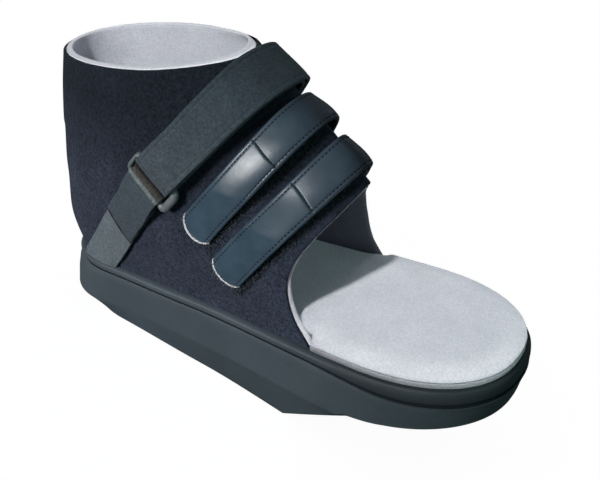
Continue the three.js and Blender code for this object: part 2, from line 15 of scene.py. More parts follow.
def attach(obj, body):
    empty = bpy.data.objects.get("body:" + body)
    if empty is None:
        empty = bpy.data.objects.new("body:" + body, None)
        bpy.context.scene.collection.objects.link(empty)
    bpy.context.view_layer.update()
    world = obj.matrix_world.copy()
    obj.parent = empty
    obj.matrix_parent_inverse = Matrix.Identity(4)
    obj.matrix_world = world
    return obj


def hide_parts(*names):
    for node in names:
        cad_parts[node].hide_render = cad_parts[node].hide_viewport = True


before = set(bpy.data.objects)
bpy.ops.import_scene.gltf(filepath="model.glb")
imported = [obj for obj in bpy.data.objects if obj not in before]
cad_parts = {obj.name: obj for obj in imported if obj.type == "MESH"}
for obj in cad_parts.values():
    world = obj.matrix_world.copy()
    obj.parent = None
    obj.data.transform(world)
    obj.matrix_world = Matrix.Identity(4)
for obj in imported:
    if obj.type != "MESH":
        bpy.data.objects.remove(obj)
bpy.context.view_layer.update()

MM = 0.001

# Where the footbed stands in the row's frame
FOOTBED_PITCH = math.radians(6.43)
HEEL_HEIGHT = 36.7
ORIGIN_X = 137.872
ORIGIN_Y = -1.01

# Sole
SOLE_LENGTH = 287.0
HEEL_ARC_LENGTH = 46.8
HEEL_HALF_WIDTH = 40.7
HEEL_ROUNDNESS = 2.2
WAIST_X = 110.0
WAIST_HALF_WIDTH = 41.8
BALL_X = 222.0
BALL_HALF_WIDTH = 47.2
TOE_ROUNDNESS = 2.25
WEDGE_APEX_X = 171.3
WEDGE_FRONT_X = 215.0
WEDGE_FRONT_DEPTH = 34.0
SLAB_DEPTH_AT_HEEL = 28.0
TOE_DEPTH = 24.0
HEEL_BEVEL_LENGTH = 18.0
HEEL_BEVEL_RISE = 8.0
WALL_DRAFT = 1.8
TOE_UNDERCUT = 9.0
HEEL_FLARE = 8.5
HEEL_FLARE_LENGTH = 62.0
# Rolled lip and groove under it: inset from the outline, depth below the footbed
LIP = [
    (7.0, 0.0), (2.6, 0.0), (1.4, 0.15), (0.55, 0.6), (0.1, 1.3), (0.0, 2.1), (0.0, 3.1),
    (0.15, 3.9), (0.6, 4.5), (1.15, 4.85), (1.3, 5.05), (0.95, 5.35), (0.5, 5.7), (0.3, 6.2),
]
GROOVE_ROWS = (8, 11)
SLAB_RINGS = 15
LIP_GROWTH = 0.7
LIP_GROWTH_START = 188.0
LIP_GROWTH_LENGTH = 62.0

# Footbed layers
SEAT_GAP = 0.3
INSOLE_BASE_THICK = 3.0
INSOLE_EDGE_INSET = 2.2
# Where the insole widens past the walls, on the near and the far side, and how much slower further in
INSOLE_STEP_X = 196.4
INSOLE_STEP_LENGTH = 0.3
FAR_STEP_X = 189.0
FAR_STEP_LENGTH = 3.5
SHOULDER_EASING = 3.0
EASING_BEFORE_STEP = 0.4
# Between the walls the felt's slope is squeezed to this share of its width
SQUEEZED_SLOPE = 0.25
SQUEEZE_END_X = 188.0
SQUEEZE_EASING = 14.0
# Painted highlight on the felt's shoulder: where it starts, how far it reaches in, and its spread across
# the insole
SHOULDER_START_X = 185.0
SHOULDER_START_LENGTH = 12.0
SHOULDER_RISE = 1.2
SHOULDER_REACH = 12.0
SHOULDER_FADE = 8.0
SHOULDER_SPREAD = 70.0
# Felt cover from its lower edge to its crown: inset from the base layer's edge, height
FELT_PROFILE = [
    (0.5, 3.6), (0.12, 3.8), (0.0, 4.1), (0.15, 4.45), (0.6, 4.8), (1.5, 5.25), (3.0, 5.9),
    (5.0, 6.65), (6.5, 7.1), (8.0, 7.4), (10.0, 7.6), (12.5, 7.7), (16.0, 7.75),
]

# Walls
UPPER_THICK = 1.6
LINING_THICK = 3.2
WALL_INSET = 3.0
WALL_BLEND_HEIGHT = 45.0
RIDGE_SLANT = 1.35
RIDGE_EASING = 0.06
COLLAR_HEIGHT = 124.0
COLLAR_RISE = 0.05
COLLAR_CENTRE_X = 79.0
COLLAR_LEAN = 3.5
LEAN_START_X = 98.0
LEAN_LENGTH = 32.0
LEAN_START_HEIGHT = 106.0
LEAN_RISE = 24.0
FRONT_TURN = 1.9
FRONT_THINNING = 0.72
NEAR_RIM_SHARE = 0.3
# How far the front edge lies further back on the far side
UPPER_FAR_BACK = 6.0
LINING_FAR_BACK = 4.0
FAR_BACK_HEIGHT = 12.0
# height, back, widest place, front, half width, roundness behind and before
SECTIONS = [
    (0, 3, 110, 285, 43, 2.3, 3.5),
    (25, -6, 102, 272, 44, 2.2, 3.3),
    (50, -3.5, 95, 228, 43.5, 2.1, 2.2),
    (75, 2, 88, 205, 41.5, 2, 1.4),
    (100, 9.5, 82, 182.5, 38.3, 2, 1.4),
    (115, 15, 80, 159, 36, 2, 1.75),
    (132, 21, 79, 131.5, 33.5, 2, 2.05),
]
# height, x of the front edge
FRONT_EDGE = [
    (0, 194.5), (6, 190.5), (14, 186), (24, 183.4), (34, 182.7),
    (44, 184.8), (54, 190.5), (64, 198), (74, 205), (82, 210),
]
# Edge of the stiffened heel on the outer side, seen from the side: x, height
COUNTER_EDGE = [(20, 78), (43, 65), (63, 51), (77, 22), (91, -2)]

# Straps: seen from the side, a band climbs forward at its angle, its offset square to the climb
LEATHER_THICK = 2.2
LEATHER_HALF_WIDTH = 9.8
LEATHER_LIFT = 2.2
END_RIM = 1.9
UPPER_STRAP = {"angle": math.radians(50.6), "offset": 68.7, "near": 117.5, "far": 130.0, "seam": 175.0}
LOWER_STRAP = {"angle": math.radians(49.4), "offset": 92.0, "near": 113.5, "far": 126.0, "seam": 174.5}
STRAP_GAP = 0.4
RIDGE_CLEARANCE = 0.6
WEBBING_THICK = 1.6
ANKLE_HALF_WIDTH = 12.0
ANKLE_LIFT = 1.6
ANKLE_FLARE = 3.0
FLARE_SHARPNESS = 7
ANKLE_STRAP = {"angle": math.radians(45.5), "offset": 24.2, "far": 55.0, "free_end": 0.62}
LAYER_GAP = 0.5
TAB_THICK = 1.4
TAB_HALF_WIDTH = 11.2
TAB = {"angle": math.radians(47.5), "offset": 28.6}
TAB_GAP = 0.4
TAB_FOOT_GAP = 0.35
TAB_BASE_TOP = 86.0
TAB_RETURN_START = 89.0
TAB_STEP_MID = 77.7
TAB_STEP_SLANT = -0.28
TAB_STEP_WAVE = 0.6
TAB_RAMP_LENGTH = 24.0

# Ring
RING_CENTRE_ALONG = 126.0
RING_BAR_RADIUS = 1.7
RING_SLIM_RADIUS = 1.3
RING_BROAD_RADIUS = 2.3
RING_TUCK = 0.9
RING_BAR_SPACING = 11.0
RING_HALF_LENGTH = 14.6
RING_ACROSS = 0.3
RING_CORNER_RADIUS = 2.4
RING_STAND_OFF = 4.0
FOLD_CLEARANCE = 0.32
FOLD_SQUARENESS = 0.5
FOLD_LEAN = 0.55

# Mesh fineness
WALL_COLUMNS = 250
WALL_EDGE_ROWS = 44
WALL_COLLAR_ROWS = 52

# Photograph's camera, on the footbed's level frame before the origin is taken off
CAMERA_FOCAL_PX = 800.0
FRAME_WIDTH_PX = 600.0
SENSOR_WIDTH = 36.0
CAMERA_AZIMUTH = math.radians(34.48)
CAMERA_ELEVATION = math.radians(36.12)
CAMERA_ROLL = math.radians(1.01)
CAMERA_DISTANCE = 442.2
CAMERA_TARGET = (120.0, 0.0, 80.0)
CAMERA_SLIDE = (30.5, -9.5)

# Studio
FLOOR_REACH = 6.0
BACKDROP_HEIGHT = 8.0
FLOOR_GLOW = 0.96
LOW_SKY = 0.03
HIGH_SKY = 0.12


def clip01(t):
    return np.clip(t, 0.0, 1.0)


def smooth_step(t):
    t = clip01(t)
    return t * t * (3.0 - 2.0 * t)


def mix(a, b, t):
    return a + (b - a) * t


class TableCurve:
    """Smooth curve through the rows of a table, without overshoot between them."""

    def __init__(self, places, values):
        self.places = np.array(places, float)
        self.values = np.array(values, float)
        slope = np.diff(self.values) / np.diff(self.places)
        product = slope[:-1] * slope[1:]
        total = slope[:-1] + slope[1:]
        inner = np.where(product > 0, 2 * product / np.where(total == 0, 1, total), 0.0)
        self.tangents = np.concatenate([slope[:1], inner, slope[-1:]])

    def __call__(self, at):
        at = np.asarray(at, float)
        i = np.clip(np.searchsorted(self.places, at, side="left") - 1, 0, len(self.places) - 2)
        span = self.places[i + 1] - self.places[i]
        t = (at - self.places[i]) / span
        t2 = t * t
        t3 = t2 * t
        start = (2 * t3 - 3 * t2 + 1) * self.values[i] + (t3 - 2 * t2 + t) * span * self.tangents[i]
        return start + (3 * t2 - 2 * t3) * self.values[i + 1] + (t3 - t2) * span * self.tangents[i + 1]


SECTION_KEYS = ("height", "back", "wide", "front", "half", "heel_round", "ridge_round")
SECTION_COLUMNS = dict(zip(SECTION_KEYS, zip(*SECTIONS)))
SECTION_CURVES = {
    key: TableCurve(SECTION_COLUMNS["height"], SECTION_COLUMNS[key]) for key in SECTION_KEYS[1:]
}
front_edge_x = TableCurve(*zip(*FRONT_EDGE))


# Putting points into the row's frame


def stand(points):
    """Points on the footbed, in millimetres, as points of the row's frame in metres."""
    points = np.asarray(points, float)
    x, y, h = points[..., 0], points[..., 1], points[..., 2]
    c, s = math.cos(FOOTBED_PITCH), math.sin(FOOTBED_PITCH)
    placed = np.stack([c * x - s * h - ORIGIN_X, y - ORIGIN_Y, HEEL_HEIGHT + s * x + c * h], -1)
    return placed * MM


def unit(v):
    return v / np.maximum(np.linalg.norm(v, axis=-1, keepdims=True), 1e-12)


def grid_normals(grid):
    return unit(np.cross(np.gradient(grid, axis=1), np.gradient(grid, axis=0)))


class Patchwork:
    """Grids of points gathered into one mesh, welded where they meet."""

    def __init__(self):
        self.points = []
        self.faces = []
        self.finishes = []
        self.lays = []
        self.count = 0

    def grid(self, points, wrap=False, finish=0, lay=None):
        rows, cols = points.shape[:2]
        index = np.arange(rows * cols).reshape(rows, cols) + self.count
        self.points.append(points.reshape(-1, 3))
        self.lays.append(np.zeros((rows * cols, 2)) if lay is None else lay.reshape(-1, 2))
        if wrap:
            index = np.hstack([index, index[:, :1]])
        corners = [index[:-1, :-1], index[1:, :-1], index[1:, 1:], index[:-1, 1:]]
        quads = np.stack(corners, -1).reshape(-1, 4)
        marks = np.broadcast_to(finish, (rows - 1, index.shape[1] - 1)).reshape(-1)
        self.faces.extend(quads.tolist())
        self.finishes.extend(marks.tolist())
        self.count += rows * cols
        return index

    def cap(self, ring, finish=0):
        self.faces.append([int(i) for i in ring])
        self.finishes.append(int(finish))

    def build(self, name, materials, sharp_angle=40.0):
        mesh = bpy.data.meshes.new(name)
        mesh.from_pydata(np.concatenate(self.points).tolist(), [], self.faces)
        mesh.polygons.foreach_set("material_index", np.array(self.finishes, np.int32))
        lays = np.concatenate(self.lays)
        loops = np.zeros(len(mesh.loops), np.int32)
        mesh.loops.foreach_get("vertex_index", loops)
        mesh.uv_layers.new(name="lay").data.foreach_set("uv", lays[loops].reshape(-1))
        shape = bmesh.new()
        shape.from_mesh(mesh)
        bmesh.ops.remove_doubles(shape, verts=shape.verts[:], dist=2e-6)
        bmesh.ops.recalc_face_normals(shape, faces=shape.faces[:])
        shape.to_mesh(mesh)
        shape.free()
        mesh.polygons.foreach_set("use_smooth", np.ones(len(mesh.polygons), bool))
        mesh.set_sharp_from_angle(angle=math.radians(sharp_angle))
        for material in materials:
            mesh.materials.append(material)
        piece = bpy.data.objects.new(name, mesh)
        bpy.context.scene.collection.objects.link(piece)
        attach(piece, "root")
        return piece


# Sole and footbed outlines


def sole_half_width(x):
    x = np.asarray(x, float)
    u = clip01((HEEL_ARC_LENGTH - x) / HEEL_ARC_LENGTH)
    heel = HEEL_HALF_WIDTH * (1 - u**HEEL_ROUNDNESS) ** (1 / HEEL_ROUNDNESS)
    waist_share = smooth_step((x - HEEL_ARC_LENGTH) / (WAIST_X - HEEL_ARC_LENGTH))
    waist = mix(HEEL_HALF_WIDTH, WAIST_HALF_WIDTH, waist_share)
    ball_share = smooth_step((x - WAIST_X) / (BALL_X - WAIST_X))
    ball = mix(WAIST_HALF_WIDTH, BALL_HALF_WIDTH, ball_share)
    v = clip01((x - BALL_X) / (SOLE_LENGTH - BALL_X))
    toe = BALL_HALF_WIDTH * (1 - v**TOE_ROUNDNESS) ** (1 / TOE_ROUNDNESS)
    edges = [x < HEEL_ARC_LENGTH, x < WAIST_X, x < BALL_X]
    return np.select(edges, [heel, waist, ball], toe)


def outline_stations(extra=()):
    heel = HEEL_ARC_LENGTH * (1 - np.cos(np.linspace(0, math.pi / 2, 34)))
    toe = BALL_X + (SOLE_LENGTH - BALL_X) * np.sin(np.linspace(0, math.pi / 2, 44))
    middle = np.linspace(HEEL_ARC_LENGTH, BALL_X, 62)[1:-1]
    return np.unique(np.concatenate([heel, middle, toe, np.array(extra, float)]))


def inset_point(x, inset):
    """Outline points moved in square to the outline."""
    step = 0.05
    inside = np.clip(x, step, SOLE_LENGTH - step)
    lean = (sole_half_width(inside + step) - sole_half_width(inside - step)) / (2 * step)
    length = np.hypot(1, lean)
    y = np.maximum(sole_half_width(x) - inset / length, 0.02)
    moved = x + inset * lean / length
    at_heel = x < step
    at_toe = x > SOLE_LENGTH - step
    px = np.where(at_heel, inset, np.where(at_toe, SOLE_LENGTH - inset, moved))
    return px, np.where(at_heel | at_toe, 0.0, y)


def drawn_in_point(x, inset):
    """Outline points drawn in toward the middle, as the walls are."""
    along = inset + (x / SOLE_LENGTH) * (SOLE_LENGTH - 2 * inset)
    return along, sole_half_width(x) * (1 - inset / WAIST_HALF_WIDTH)


def contour_ring(stations, inset, height, place, far_inset=None):
    """One level ring: the near side from heel to toe, then the far side back."""

    def side_line(inset_there, side):
        px, py = place(stations, np.broadcast_to(inset_there, stations.shape))
        return np.stack([px, side * py, np.broadcast_to(height, px.shape)], -1)

    near = side_line(inset, -1)
    far = side_line(inset if far_inset is None else far_inset, 1)
    return np.concatenate([near, far[1:-1][::-1]])


def ladder(ring, station_count, across):
    """Grid that closes a ring from its near side to its far side."""
    near = ring[:station_count]
    far = np.concatenate([near[:1], ring[station_count:][::-1], near[-1:]])
    return np.stack([mix(near, far, t) for t in np.linspace(0, 1, across + 1)], 1)


# Sole


def ground_depth(x):
    flat = HEEL_HEIGHT / math.cos(FOOTBED_PITCH) + x * math.tan(FOOTBED_PITCH)
    return flat - HEEL_BEVEL_RISE * clip01(1 - x / HEEL_BEVEL_LENGTH) ** 2


def underside_depth(x):
    wedge_share = (x - WEDGE_APEX_X) / (WEDGE_FRONT_X - WEDGE_APEX_X)
    wedge = mix(ground_depth(WEDGE_APEX_X), WEDGE_FRONT_DEPTH, wedge_share)
    toe = mix(WEDGE_FRONT_DEPTH, TOE_DEPTH, (x - WEDGE_FRONT_X) / (SOLE_LENGTH - WEDGE_FRONT_X))
    return np.select([x <= WEDGE_APEX_X, x <= WEDGE_FRONT_X], [ground_depth(x), wedge], toe)


def crease_depth(x):
    slab = mix(SLAB_DEPTH_AT_HEEL, WEDGE_FRONT_DEPTH, clip01(x / WEDGE_FRONT_X))
    return np.minimum(slab, 0.9 * underside_depth(x))


def heel_share(x):
    return 1 - smooth_step(x / HEEL_FLARE_LENGTH)


def toe_share(x):
    return smooth_step((x - BALL_X) / (SOLE_LENGTH - BALL_X))


def slab_inset(x, depth):
    """Inset of the slab's wall at a depth, from the groove down to the crease."""
    crease = crease_depth(x)
    depths = [np.full_like(x, 5.6), np.full_like(x, 9.0), 0.62 * crease, crease]
    insets = [
        np.full_like(x, 0.4),
        0.1 - 0.25 * HEEL_FLARE * heel_share(x),
        mix(0.6, 1.4, toe_share(x)) - 0.65 * HEEL_FLARE * heel_share(x),
        mix(1, 3.6, toe_share(x)) - HEEL_FLARE * heel_share(x),
    ]
    found = insets[0]
    for k in range(3):
        t = clip01((depth - depths[k]) / (depths[k + 1] - depths[k]))
        found = np.where(depth > depths[k], mix(insets[k], insets[k + 1], t), found)
    return found


def make_sole(slab, facet, lip, groove):
    stations = outline_stations([WEDGE_APEX_X - 0.6, WEDGE_APEX_X, WEDGE_APEX_X + 0.6, WEDGE_FRONT_X])
    grow = 1 + LIP_GROWTH * smooth_step((stations - LIP_GROWTH_START) / LIP_GROWTH_LENGTH)
    under_inset = mix(1 + WALL_DRAFT, TOE_UNDERCUT, toe_share(stations))
    crease_inset = slab_inset(stations, crease_depth(stations))
    rings = []

    def add(inset, depth):
        ring = contour_ring(stations, inset, 0.0, inset_point)
        ring[:, 2] = -depth(ring[:, 0])
        rings.append(ring)

    def at_station(values):
        return lambda px: np.interp(px, stations, values)

    for inset, depth in LIP:
        add(np.full_like(stations, inset), at_station(depth * grow))
    lip_foot = LIP[-1][1] * grow
    for t in np.linspace(0.08, 1, SLAB_RINGS):
        depth = mix(lip_foot, crease_depth(stations), t)
        add(slab_inset(stations, depth), at_station(depth))
    edge_round = 1.3
    for t in np.linspace(0.06, 1, 10):
        inset = mix(crease_inset, under_inset, t)
        add(inset, lambda px, t=t: mix(crease_depth(px), underside_depth(px) - edge_round, t))
    for inward, up in [(0.25, 0.55), (0.75, 0.12), (1.5, 0.0), (5.0, 0.0)]:
        add(under_inset + inward, lambda px, up=up: underside_depth(px) - up)
    row = np.arange(len(rings) - 1)[:, None]
    below_lip = row >= len(LIP) - 1
    below_crease = row >= len(LIP) + SLAB_RINGS - 1
    # The groove's faces take a foam with painted shade.
    in_groove = (row >= GROOVE_ROWS[0]) & (row <= GROOVE_ROWS[1])
    finish = np.select([in_groove, below_crease, below_lip], [3, 1, 0], 2)
    work = Patchwork()
    work.grid(stand(np.array(rings)), wrap=True, finish=finish)
    work.grid(stand(ladder(rings[0], len(stations), 8)), finish=2)
    work.grid(stand(ladder(rings[-1], len(stations), 8)), finish=1)
    piece = work.build("sole_body", [slab, facet, lip, groove], 24)
    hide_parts("sole")
    return piece


# Footbed


def insole_inset(x, step_x, step_length):
    between = WALL_INSET + UPPER_THICK + SEAT_GAP + LINING_THICK + SEAT_GAP
    return mix(between, INSOLE_EDGE_INSET, smooth_step((x - step_x) / step_length))


def insole_ring(stations, inset, height):
    """A ring of the insole, squeezed between the walls and wider past them, at once only at its edge."""
    easing = SHOULDER_EASING * inset
    lead = EASING_BEFORE_STEP * easing
    slope = inset * mix(SQUEEZED_SLOPE, 1.0, smooth_step((stations - SQUEEZE_END_X) / SQUEEZE_EASING))
    near = insole_inset(stations, INSOLE_STEP_X - lead, INSOLE_STEP_LENGTH + easing) + slope
    far = insole_inset(stations, FAR_STEP_X - lead, FAR_STEP_LENGTH + easing) + slope
    return contour_ring(stations, near, height, drawn_in_point, far)


def insole_stations():
    step = np.linspace(INSOLE_STEP_X, INSOLE_STEP_X + INSOLE_STEP_LENGTH, 7)
    far_step = np.linspace(FAR_STEP_X, FAR_STEP_X + FAR_STEP_LENGTH, 7)
    return outline_stations(np.concatenate([step, far_step]))


def make_insole_base(material):
    stations = insole_stations()
    low, high = SEAT_GAP, SEAT_GAP + INSOLE_BASE_THICK
    lower_edge = [(3.0, low), (0.5, low), (0.1, low + 0.2), (0, low + 0.6)]
    upper_edge = [(0, high - 0.6), (0.1, high - 0.2), (0.5, high), (3.0, high)]
    profile = lower_edge + upper_edge
    rings = [insole_ring(stations, d, h) for d, h in profile]
    work = Patchwork()
    work.grid(stand(np.array(rings)), wrap=True)
    work.grid(stand(ladder(rings[0], len(stations), 4)))
    work.grid(stand(ladder(rings[-1], len(stations), 4)))
    piece = work.build("insole_base_layer", [material])
    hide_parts("insole_base")
    return piece


def shoulder_lay(rings):
    """How much painted highlight the felt gets: most on the near shoulder, none at the last ring."""
    insets = np.array([0.0] + [d for d, h in FELT_PROFILE])
    on_shoulder = smooth_step(insets / SHOULDER_RISE)
    on_shoulder = on_shoulder * smooth_step((SHOULDER_REACH - insets) / SHOULDER_FADE)
    nearness = smooth_step(0.5 - rings[..., 1] / SHOULDER_SPREAD)
    past_walls = smooth_step((rings[..., 0] - SHOULDER_START_X) / SHOULDER_START_LENGTH)
    share = on_shoulder[:, None] * nearness * past_walls
    return np.stack([share, share], -1)


def make_insole_cover(material):
    stations = insole_stations()
    rings = [insole_ring(stations, d, h) for d, h in FELT_PROFILE]
    floor = insole_ring(stations, 3.0, FELT_PROFILE[0][1])
    body = np.array([floor] + rings)
    work = Patchwork()
    work.grid(stand(body), wrap=True, lay=shoulder_lay(body))
    work.grid(stand(ladder(floor, len(stations), 4)))
    top = ladder(rings[-1], len(stations), 20)
    crown = 0.12 * np.sin(top[..., 0] / 31.0) * np.cos(top[..., 1] / 13.0)
    crown[:, 0] = 0
    crown[:, -1] = 0
    top[..., 2] += crown
    work.grid(stand(top))
    piece = work.build("insole_felt_cover", [material])
    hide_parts("insole_cover")
    return piece


# Walls of the upper and its lining


def section(height, inset):
    found = {key: curve(height) for key, curve in SECTION_CURVES.items()}
    found["back"] = found["back"] + inset
    found["front"] = found["front"] - RIDGE_SLANT * inset
    found["half"] = found["half"] - inset
    found["ridge_round"] = found["ridge_round"] + RIDGE_EASING * np.maximum(0, -inset)
    return found


def wall_half_width(x, height, inset):
    s = section(height, inset)
    behind = x < s["wide"]
    back_reach = (s["wide"] - x) / (s["wide"] - s["back"])
    front_reach = (x - s["wide"]) / (s["front"] - s["wide"])
    reach = clip01(np.where(behind, back_reach, front_reach))
    roundness = np.where(behind, s["heel_round"], s["ridge_round"])
    egg = s["half"] * (1 - reach**roundness) ** (1 / roundness)
    margin = WALL_INSET + inset
    along = clip01((x - s["back"]) / (SOLE_LENGTH - 2 * margin))
    foot = sole_half_width(along * SOLE_LENGTH) * (1 - margin / WAIST_HALF_WIDTH)
    return mix(foot, egg, smooth_step(height / WALL_BLEND_HEIGHT))


def throat_height(inset, edge_shift):
    low, high = 40.0, 81.0
    for _ in range(40):
        middle = (low + high) / 2
        if section(middle, inset)["front"] > front_edge_x(middle) + edge_shift:
            low = middle
        else:
            high = middle
    return low


def collar_lean(x, height):
    forward = smooth_step((x - LEAN_START_X) / LEAN_LENGTH)
    return COLLAR_LEAN * forward * smooth_step((height - LEAN_START_HEIGHT) / LEAN_RISE)


def wall_spot(x, height, inset, side):
    y = side * wall_half_width(x, height, inset)
    return np.stack([x, y + collar_lean(x, height), height], -1)


def wall_point(turn, height, inset):
    s = section(height, inset)
    c = np.cos(np.abs(turn))
    reach = np.where(c > 0, s["wide"] - s["back"], s["front"] - s["wide"])
    return wall_spot(s["wide"] - reach * c, height, inset, np.sign(turn))


def edge_turn(section_there, edge):
    reach = clip01((edge - section_there["wide"]) / (section_there["front"] - section_there["wide"]))
    return math.pi - math.acos(reach)


def wall_face(inset, rim_rise, edge_shift, front_ease=0.0, far_back=0.0):
    """Rows up from the sole, columns from the near front edge round the heel to the far one."""
    throat = throat_height(inset, edge_shift)
    rows = []
    for r in range(WALL_EDGE_ROWS + WALL_COLLAR_ROWS + 1):
        is_open = r < WALL_EDGE_ROWS
        level = mix(SEAT_GAP, throat, min(1.0, r / WALL_EDGE_ROWS))
        s = section(level, inset)
        edge = front_edge_x(level) + edge_shift
        far_edge = edge - far_back * smooth_step((throat - level) / FAR_BACK_HEIGHT)
        near_limit = edge_turn(s, edge) if is_open else math.pi
        far_limit = edge_turn(s, far_edge) if is_open else math.pi
        turn = np.linspace(-near_limit, far_limit, WALL_COLUMNS + 1)
        points = wall_point(turn, np.full_like(turn, level), inset)
        for _ in range(0 if is_open else 3):
            far_share = smooth_step(points[:, 1] / 60.0 + 0.5)
            top = COLLAR_HEIGHT + rim_rise * mix(NEAR_RIM_SHARE, 1.0, far_share)
            top = top + COLLAR_RISE * (points[:, 0] - COLLAR_CENTRE_X)
            climb = (r - WALL_EDGE_ROWS) / WALL_COLLAR_ROWS
            height = mix(throat, top, climb)
            front_share = smooth_step((np.abs(turn) - FRONT_TURN) / (math.pi - FRONT_TURN))
            points = wall_point(turn, height, inset - front_ease * front_share * smooth_step(climb * 2))
        rows.append(points)
    return np.array(rows)


def side_distance(points, line):
    """Signed distance, seen from the side, of points from a line that runs down and forward."""
    px, ph = points[..., 0], points[..., 2]
    best = np.full(px.shape, 1e9)
    sign = np.ones(px.shape)
    for (ax, ah), (bx, bh) in zip(line[:-1], line[1:]):
        dx, dh = bx - ax, bh - ah
        t = clip01(((px - ax) * dx + (ph - ah) * dh) / (dx * dx + dh * dh))
        gap = np.hypot(px - ax - t * dx, ph - ah - t * dh)
        turn = np.sign((px - ax) * dh - (ph - ah) * dx)
        sign = np.where(gap < best, turn, sign)
        best = np.minimum(best, gap)
    return best * sign


def soften(face):
    """Small dents of sewn cloth, and the step where the stiffened heel ends."""
    x, y, h = face[..., 0], face[..., 1], face[..., 2]
    dent = np.sin(x / 17.0 + 0.6 * np.sin(h / 15.0)) * np.sin(h / 21.0 + y / 30.0 + 1.3)
    dent += 0.6 * np.sin(x / 9.5 - h / 12.0 + 2.1) * np.sin(y / 23.0 - h / 27.0)
    step = smooth_step(side_distance(face, COUNTER_EDGE) / 2.4 + 0.5)
    fade = smooth_step(h / 6.0) * smooth_step((COLLAR_HEIGHT - 3 - h) / 10.0)
    move = (0.16 * dent - 0.4 * step) * fade
    return face + grid_normals(face) * (-move)[..., None]


def shell(name, layers, materials, change=None):
    """A wall whose layers between its two faces round its rims; the rim and the near front edge can take
    materials of their own, which on the lining paint shade on the rim and light on the near edge.
    """
    faces = [wall_face(*layer) for layer in layers]
    if change is not None:
        faces[0] = change(faces[0])
    work = Patchwork()
    for face in (faces[0], faces[-1]):
        work.grid(stand(face))
    stack = np.array(faces)
    work.grid(stand(stack[:, -1]), finish=min(1, len(materials) - 1))
    work.grid(stand(stack[:, 0]))
    # The near front edge takes the last material, which on the lining is painted light.
    work.grid(stand(stack[:, : WALL_EDGE_ROWS + 1, 0]), finish=len(materials) - 1)
    work.grid(stand(stack[:, : WALL_EDGE_ROWS + 1, -1]))
    return work.build(name, materials, 60)


def make_upper(material):
    rows = [(0.0, 0.0), (0.25, 0.35), (0.8, 0.5), (1.35, 0.35), (UPPER_THICK, 0.0)]
    layers = [(inset, rise, rise, 0.0, UPPER_FAR_BACK) for inset, rise in rows]
    piece = shell("upper_shell", layers, [material], soften)
    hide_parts("upper")
    return piece


def make_lining(material, rim, cut_edge):
    start = UPPER_THICK + SEAT_GAP
    rounding = [(0.0, 1.3, -0.5), (0.25, 2.1, 0.1), (0.9, 2.6, 0.5), (1.6, 2.75, 0.6)]
    rows = rounding + [(LINING_THICK - d, rise, shift) for d, rise, shift in rounding[:-1][::-1]]
    layers = [(start + d, rise, shift, FRONT_THINNING * d, LINING_FAR_BACK) for d, rise, shift in rows]
    piece = shell("lining_felt_wall", layers, [material, rim, cut_edge])
    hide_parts("lining")
    return piece


# Straps


def band_spot(band, along, across):
    c, s = math.cos(band["angle"]), math.sin(band["angle"])
    square = band["offset"] + across
    return c * along + s * square, s * along - c * square


def band_point(band, along, across, lift, side):
    x, height = band_spot(band, along, across)
    return wall_spot(x, height, -lift, side)


def ridge_along(band, across, lift):
    """How far up its climb a band meets the instep ridge."""
    across, lift = np.broadcast_arrays(across, lift)
    low = np.full(across.shape, 100.0)
    high = np.full(across.shape, 260.0)
    for _ in range(34):
        middle = (low + high) / 2
        x, height = band_spot(band, middle, across)
        inside = SECTION_CURVES["front"](height) + RIDGE_SLANT * lift > x
        low = np.where(inside, middle, low)
        high = np.where(inside, high, middle)
    return low


def strap_loop(half, thick, crown, groove_places, groove_depth, groove_width):
    """Cross-section of a strap as a closed loop of across and lift, its upper face first."""
    radius = thick / 2
    flat = half - radius
    places = set(np.linspace(-flat, flat, 15))
    for g in groove_places:
        places |= {g + k * groove_width for k in (-1.6, -0.9, -0.45, 0, 0.45, 0.9, 1.6)}
    top_q = np.array(sorted(p for p in places if abs(p) <= flat))
    top_l = radius + crown * (1 - (top_q / flat) ** 2)
    for g in groove_places:
        top_l -= groove_depth * np.exp(-(((top_q - g) / (0.6 * groove_width)) ** 2))
    arc = np.linspace(math.pi / 2, -math.pi / 2, 9)[1:-1]
    right = np.stack([flat + radius * np.cos(arc), radius * np.sin(arc)], -1)
    low_q = np.linspace(flat, -flat, 8)
    bottom = np.stack([low_q, np.full_like(low_q, -radius)], -1)
    left = (right * (-1, 1))[::-1]
    return np.concatenate([np.stack([top_q, top_l], -1), right, bottom, left])


def strap_mesh(name, grid, materials, finish=0):
    """A strap from its stations of cross-section loops."""
    work = Patchwork()
    index = work.grid(stand(grid), wrap=True, finish=finish)
    work.cap(index[0, :-1])
    work.cap(index[-1, :-1])
    return work.build(name, materials, 55)


def leather_end(band, side, q):
    bow = LEATHER_HALF_WIDTH * (1 - np.sqrt(1 - (0.93 * q / LEATHER_HALF_WIDTH) ** 2))
    return np.where(side < 0, band["near"] + bow, band["far"])


def leather_lift(share, q):
    rise = LEATHER_LIFT * clip01(1 - share) ** 1.2 * smooth_step((q / LEATHER_HALF_WIDTH + 1) / 2)
    clear = RIDGE_CLEARANCE * clip01(1 - share) ** 2
    return STRAP_GAP + LEATHER_THICK / 2 + rise + clear


def leather_point(band, side, share, q, l):
    lift = leather_lift(share, q) + l
    ridge = ridge_along(band, q, lift)
    along = ridge - share * (ridge - leather_end(band, side, q))
    return band_point(band, along, q, lift, side)


LEATHER_GROOVE = LEATHER_HALF_WIDTH - 2.1
LEATHER_LOOP = strap_loop(
    LEATHER_HALF_WIDTH, LEATHER_THICK, 0.6, (-LEATHER_GROOVE, LEATHER_GROOVE), 0.16, 0.6
)
SEAM_SPLIT = 0.3


def seam_share(band, t, q):
    """Share of the way to the near end, so that one station lies along the cross seam."""
    ridge = ridge_along(band, q, leather_lift(0.3, q))
    seam = (ridge - band["seam"]) / (ridge - leather_end(band, -1.0, q))
    before = t / SEAM_SPLIT * seam
    after = seam + (t - SEAM_SPLIT) / (1 - SEAM_SPLIT) * (1 - seam)
    return np.where(t < SEAM_SPLIT, before, after)


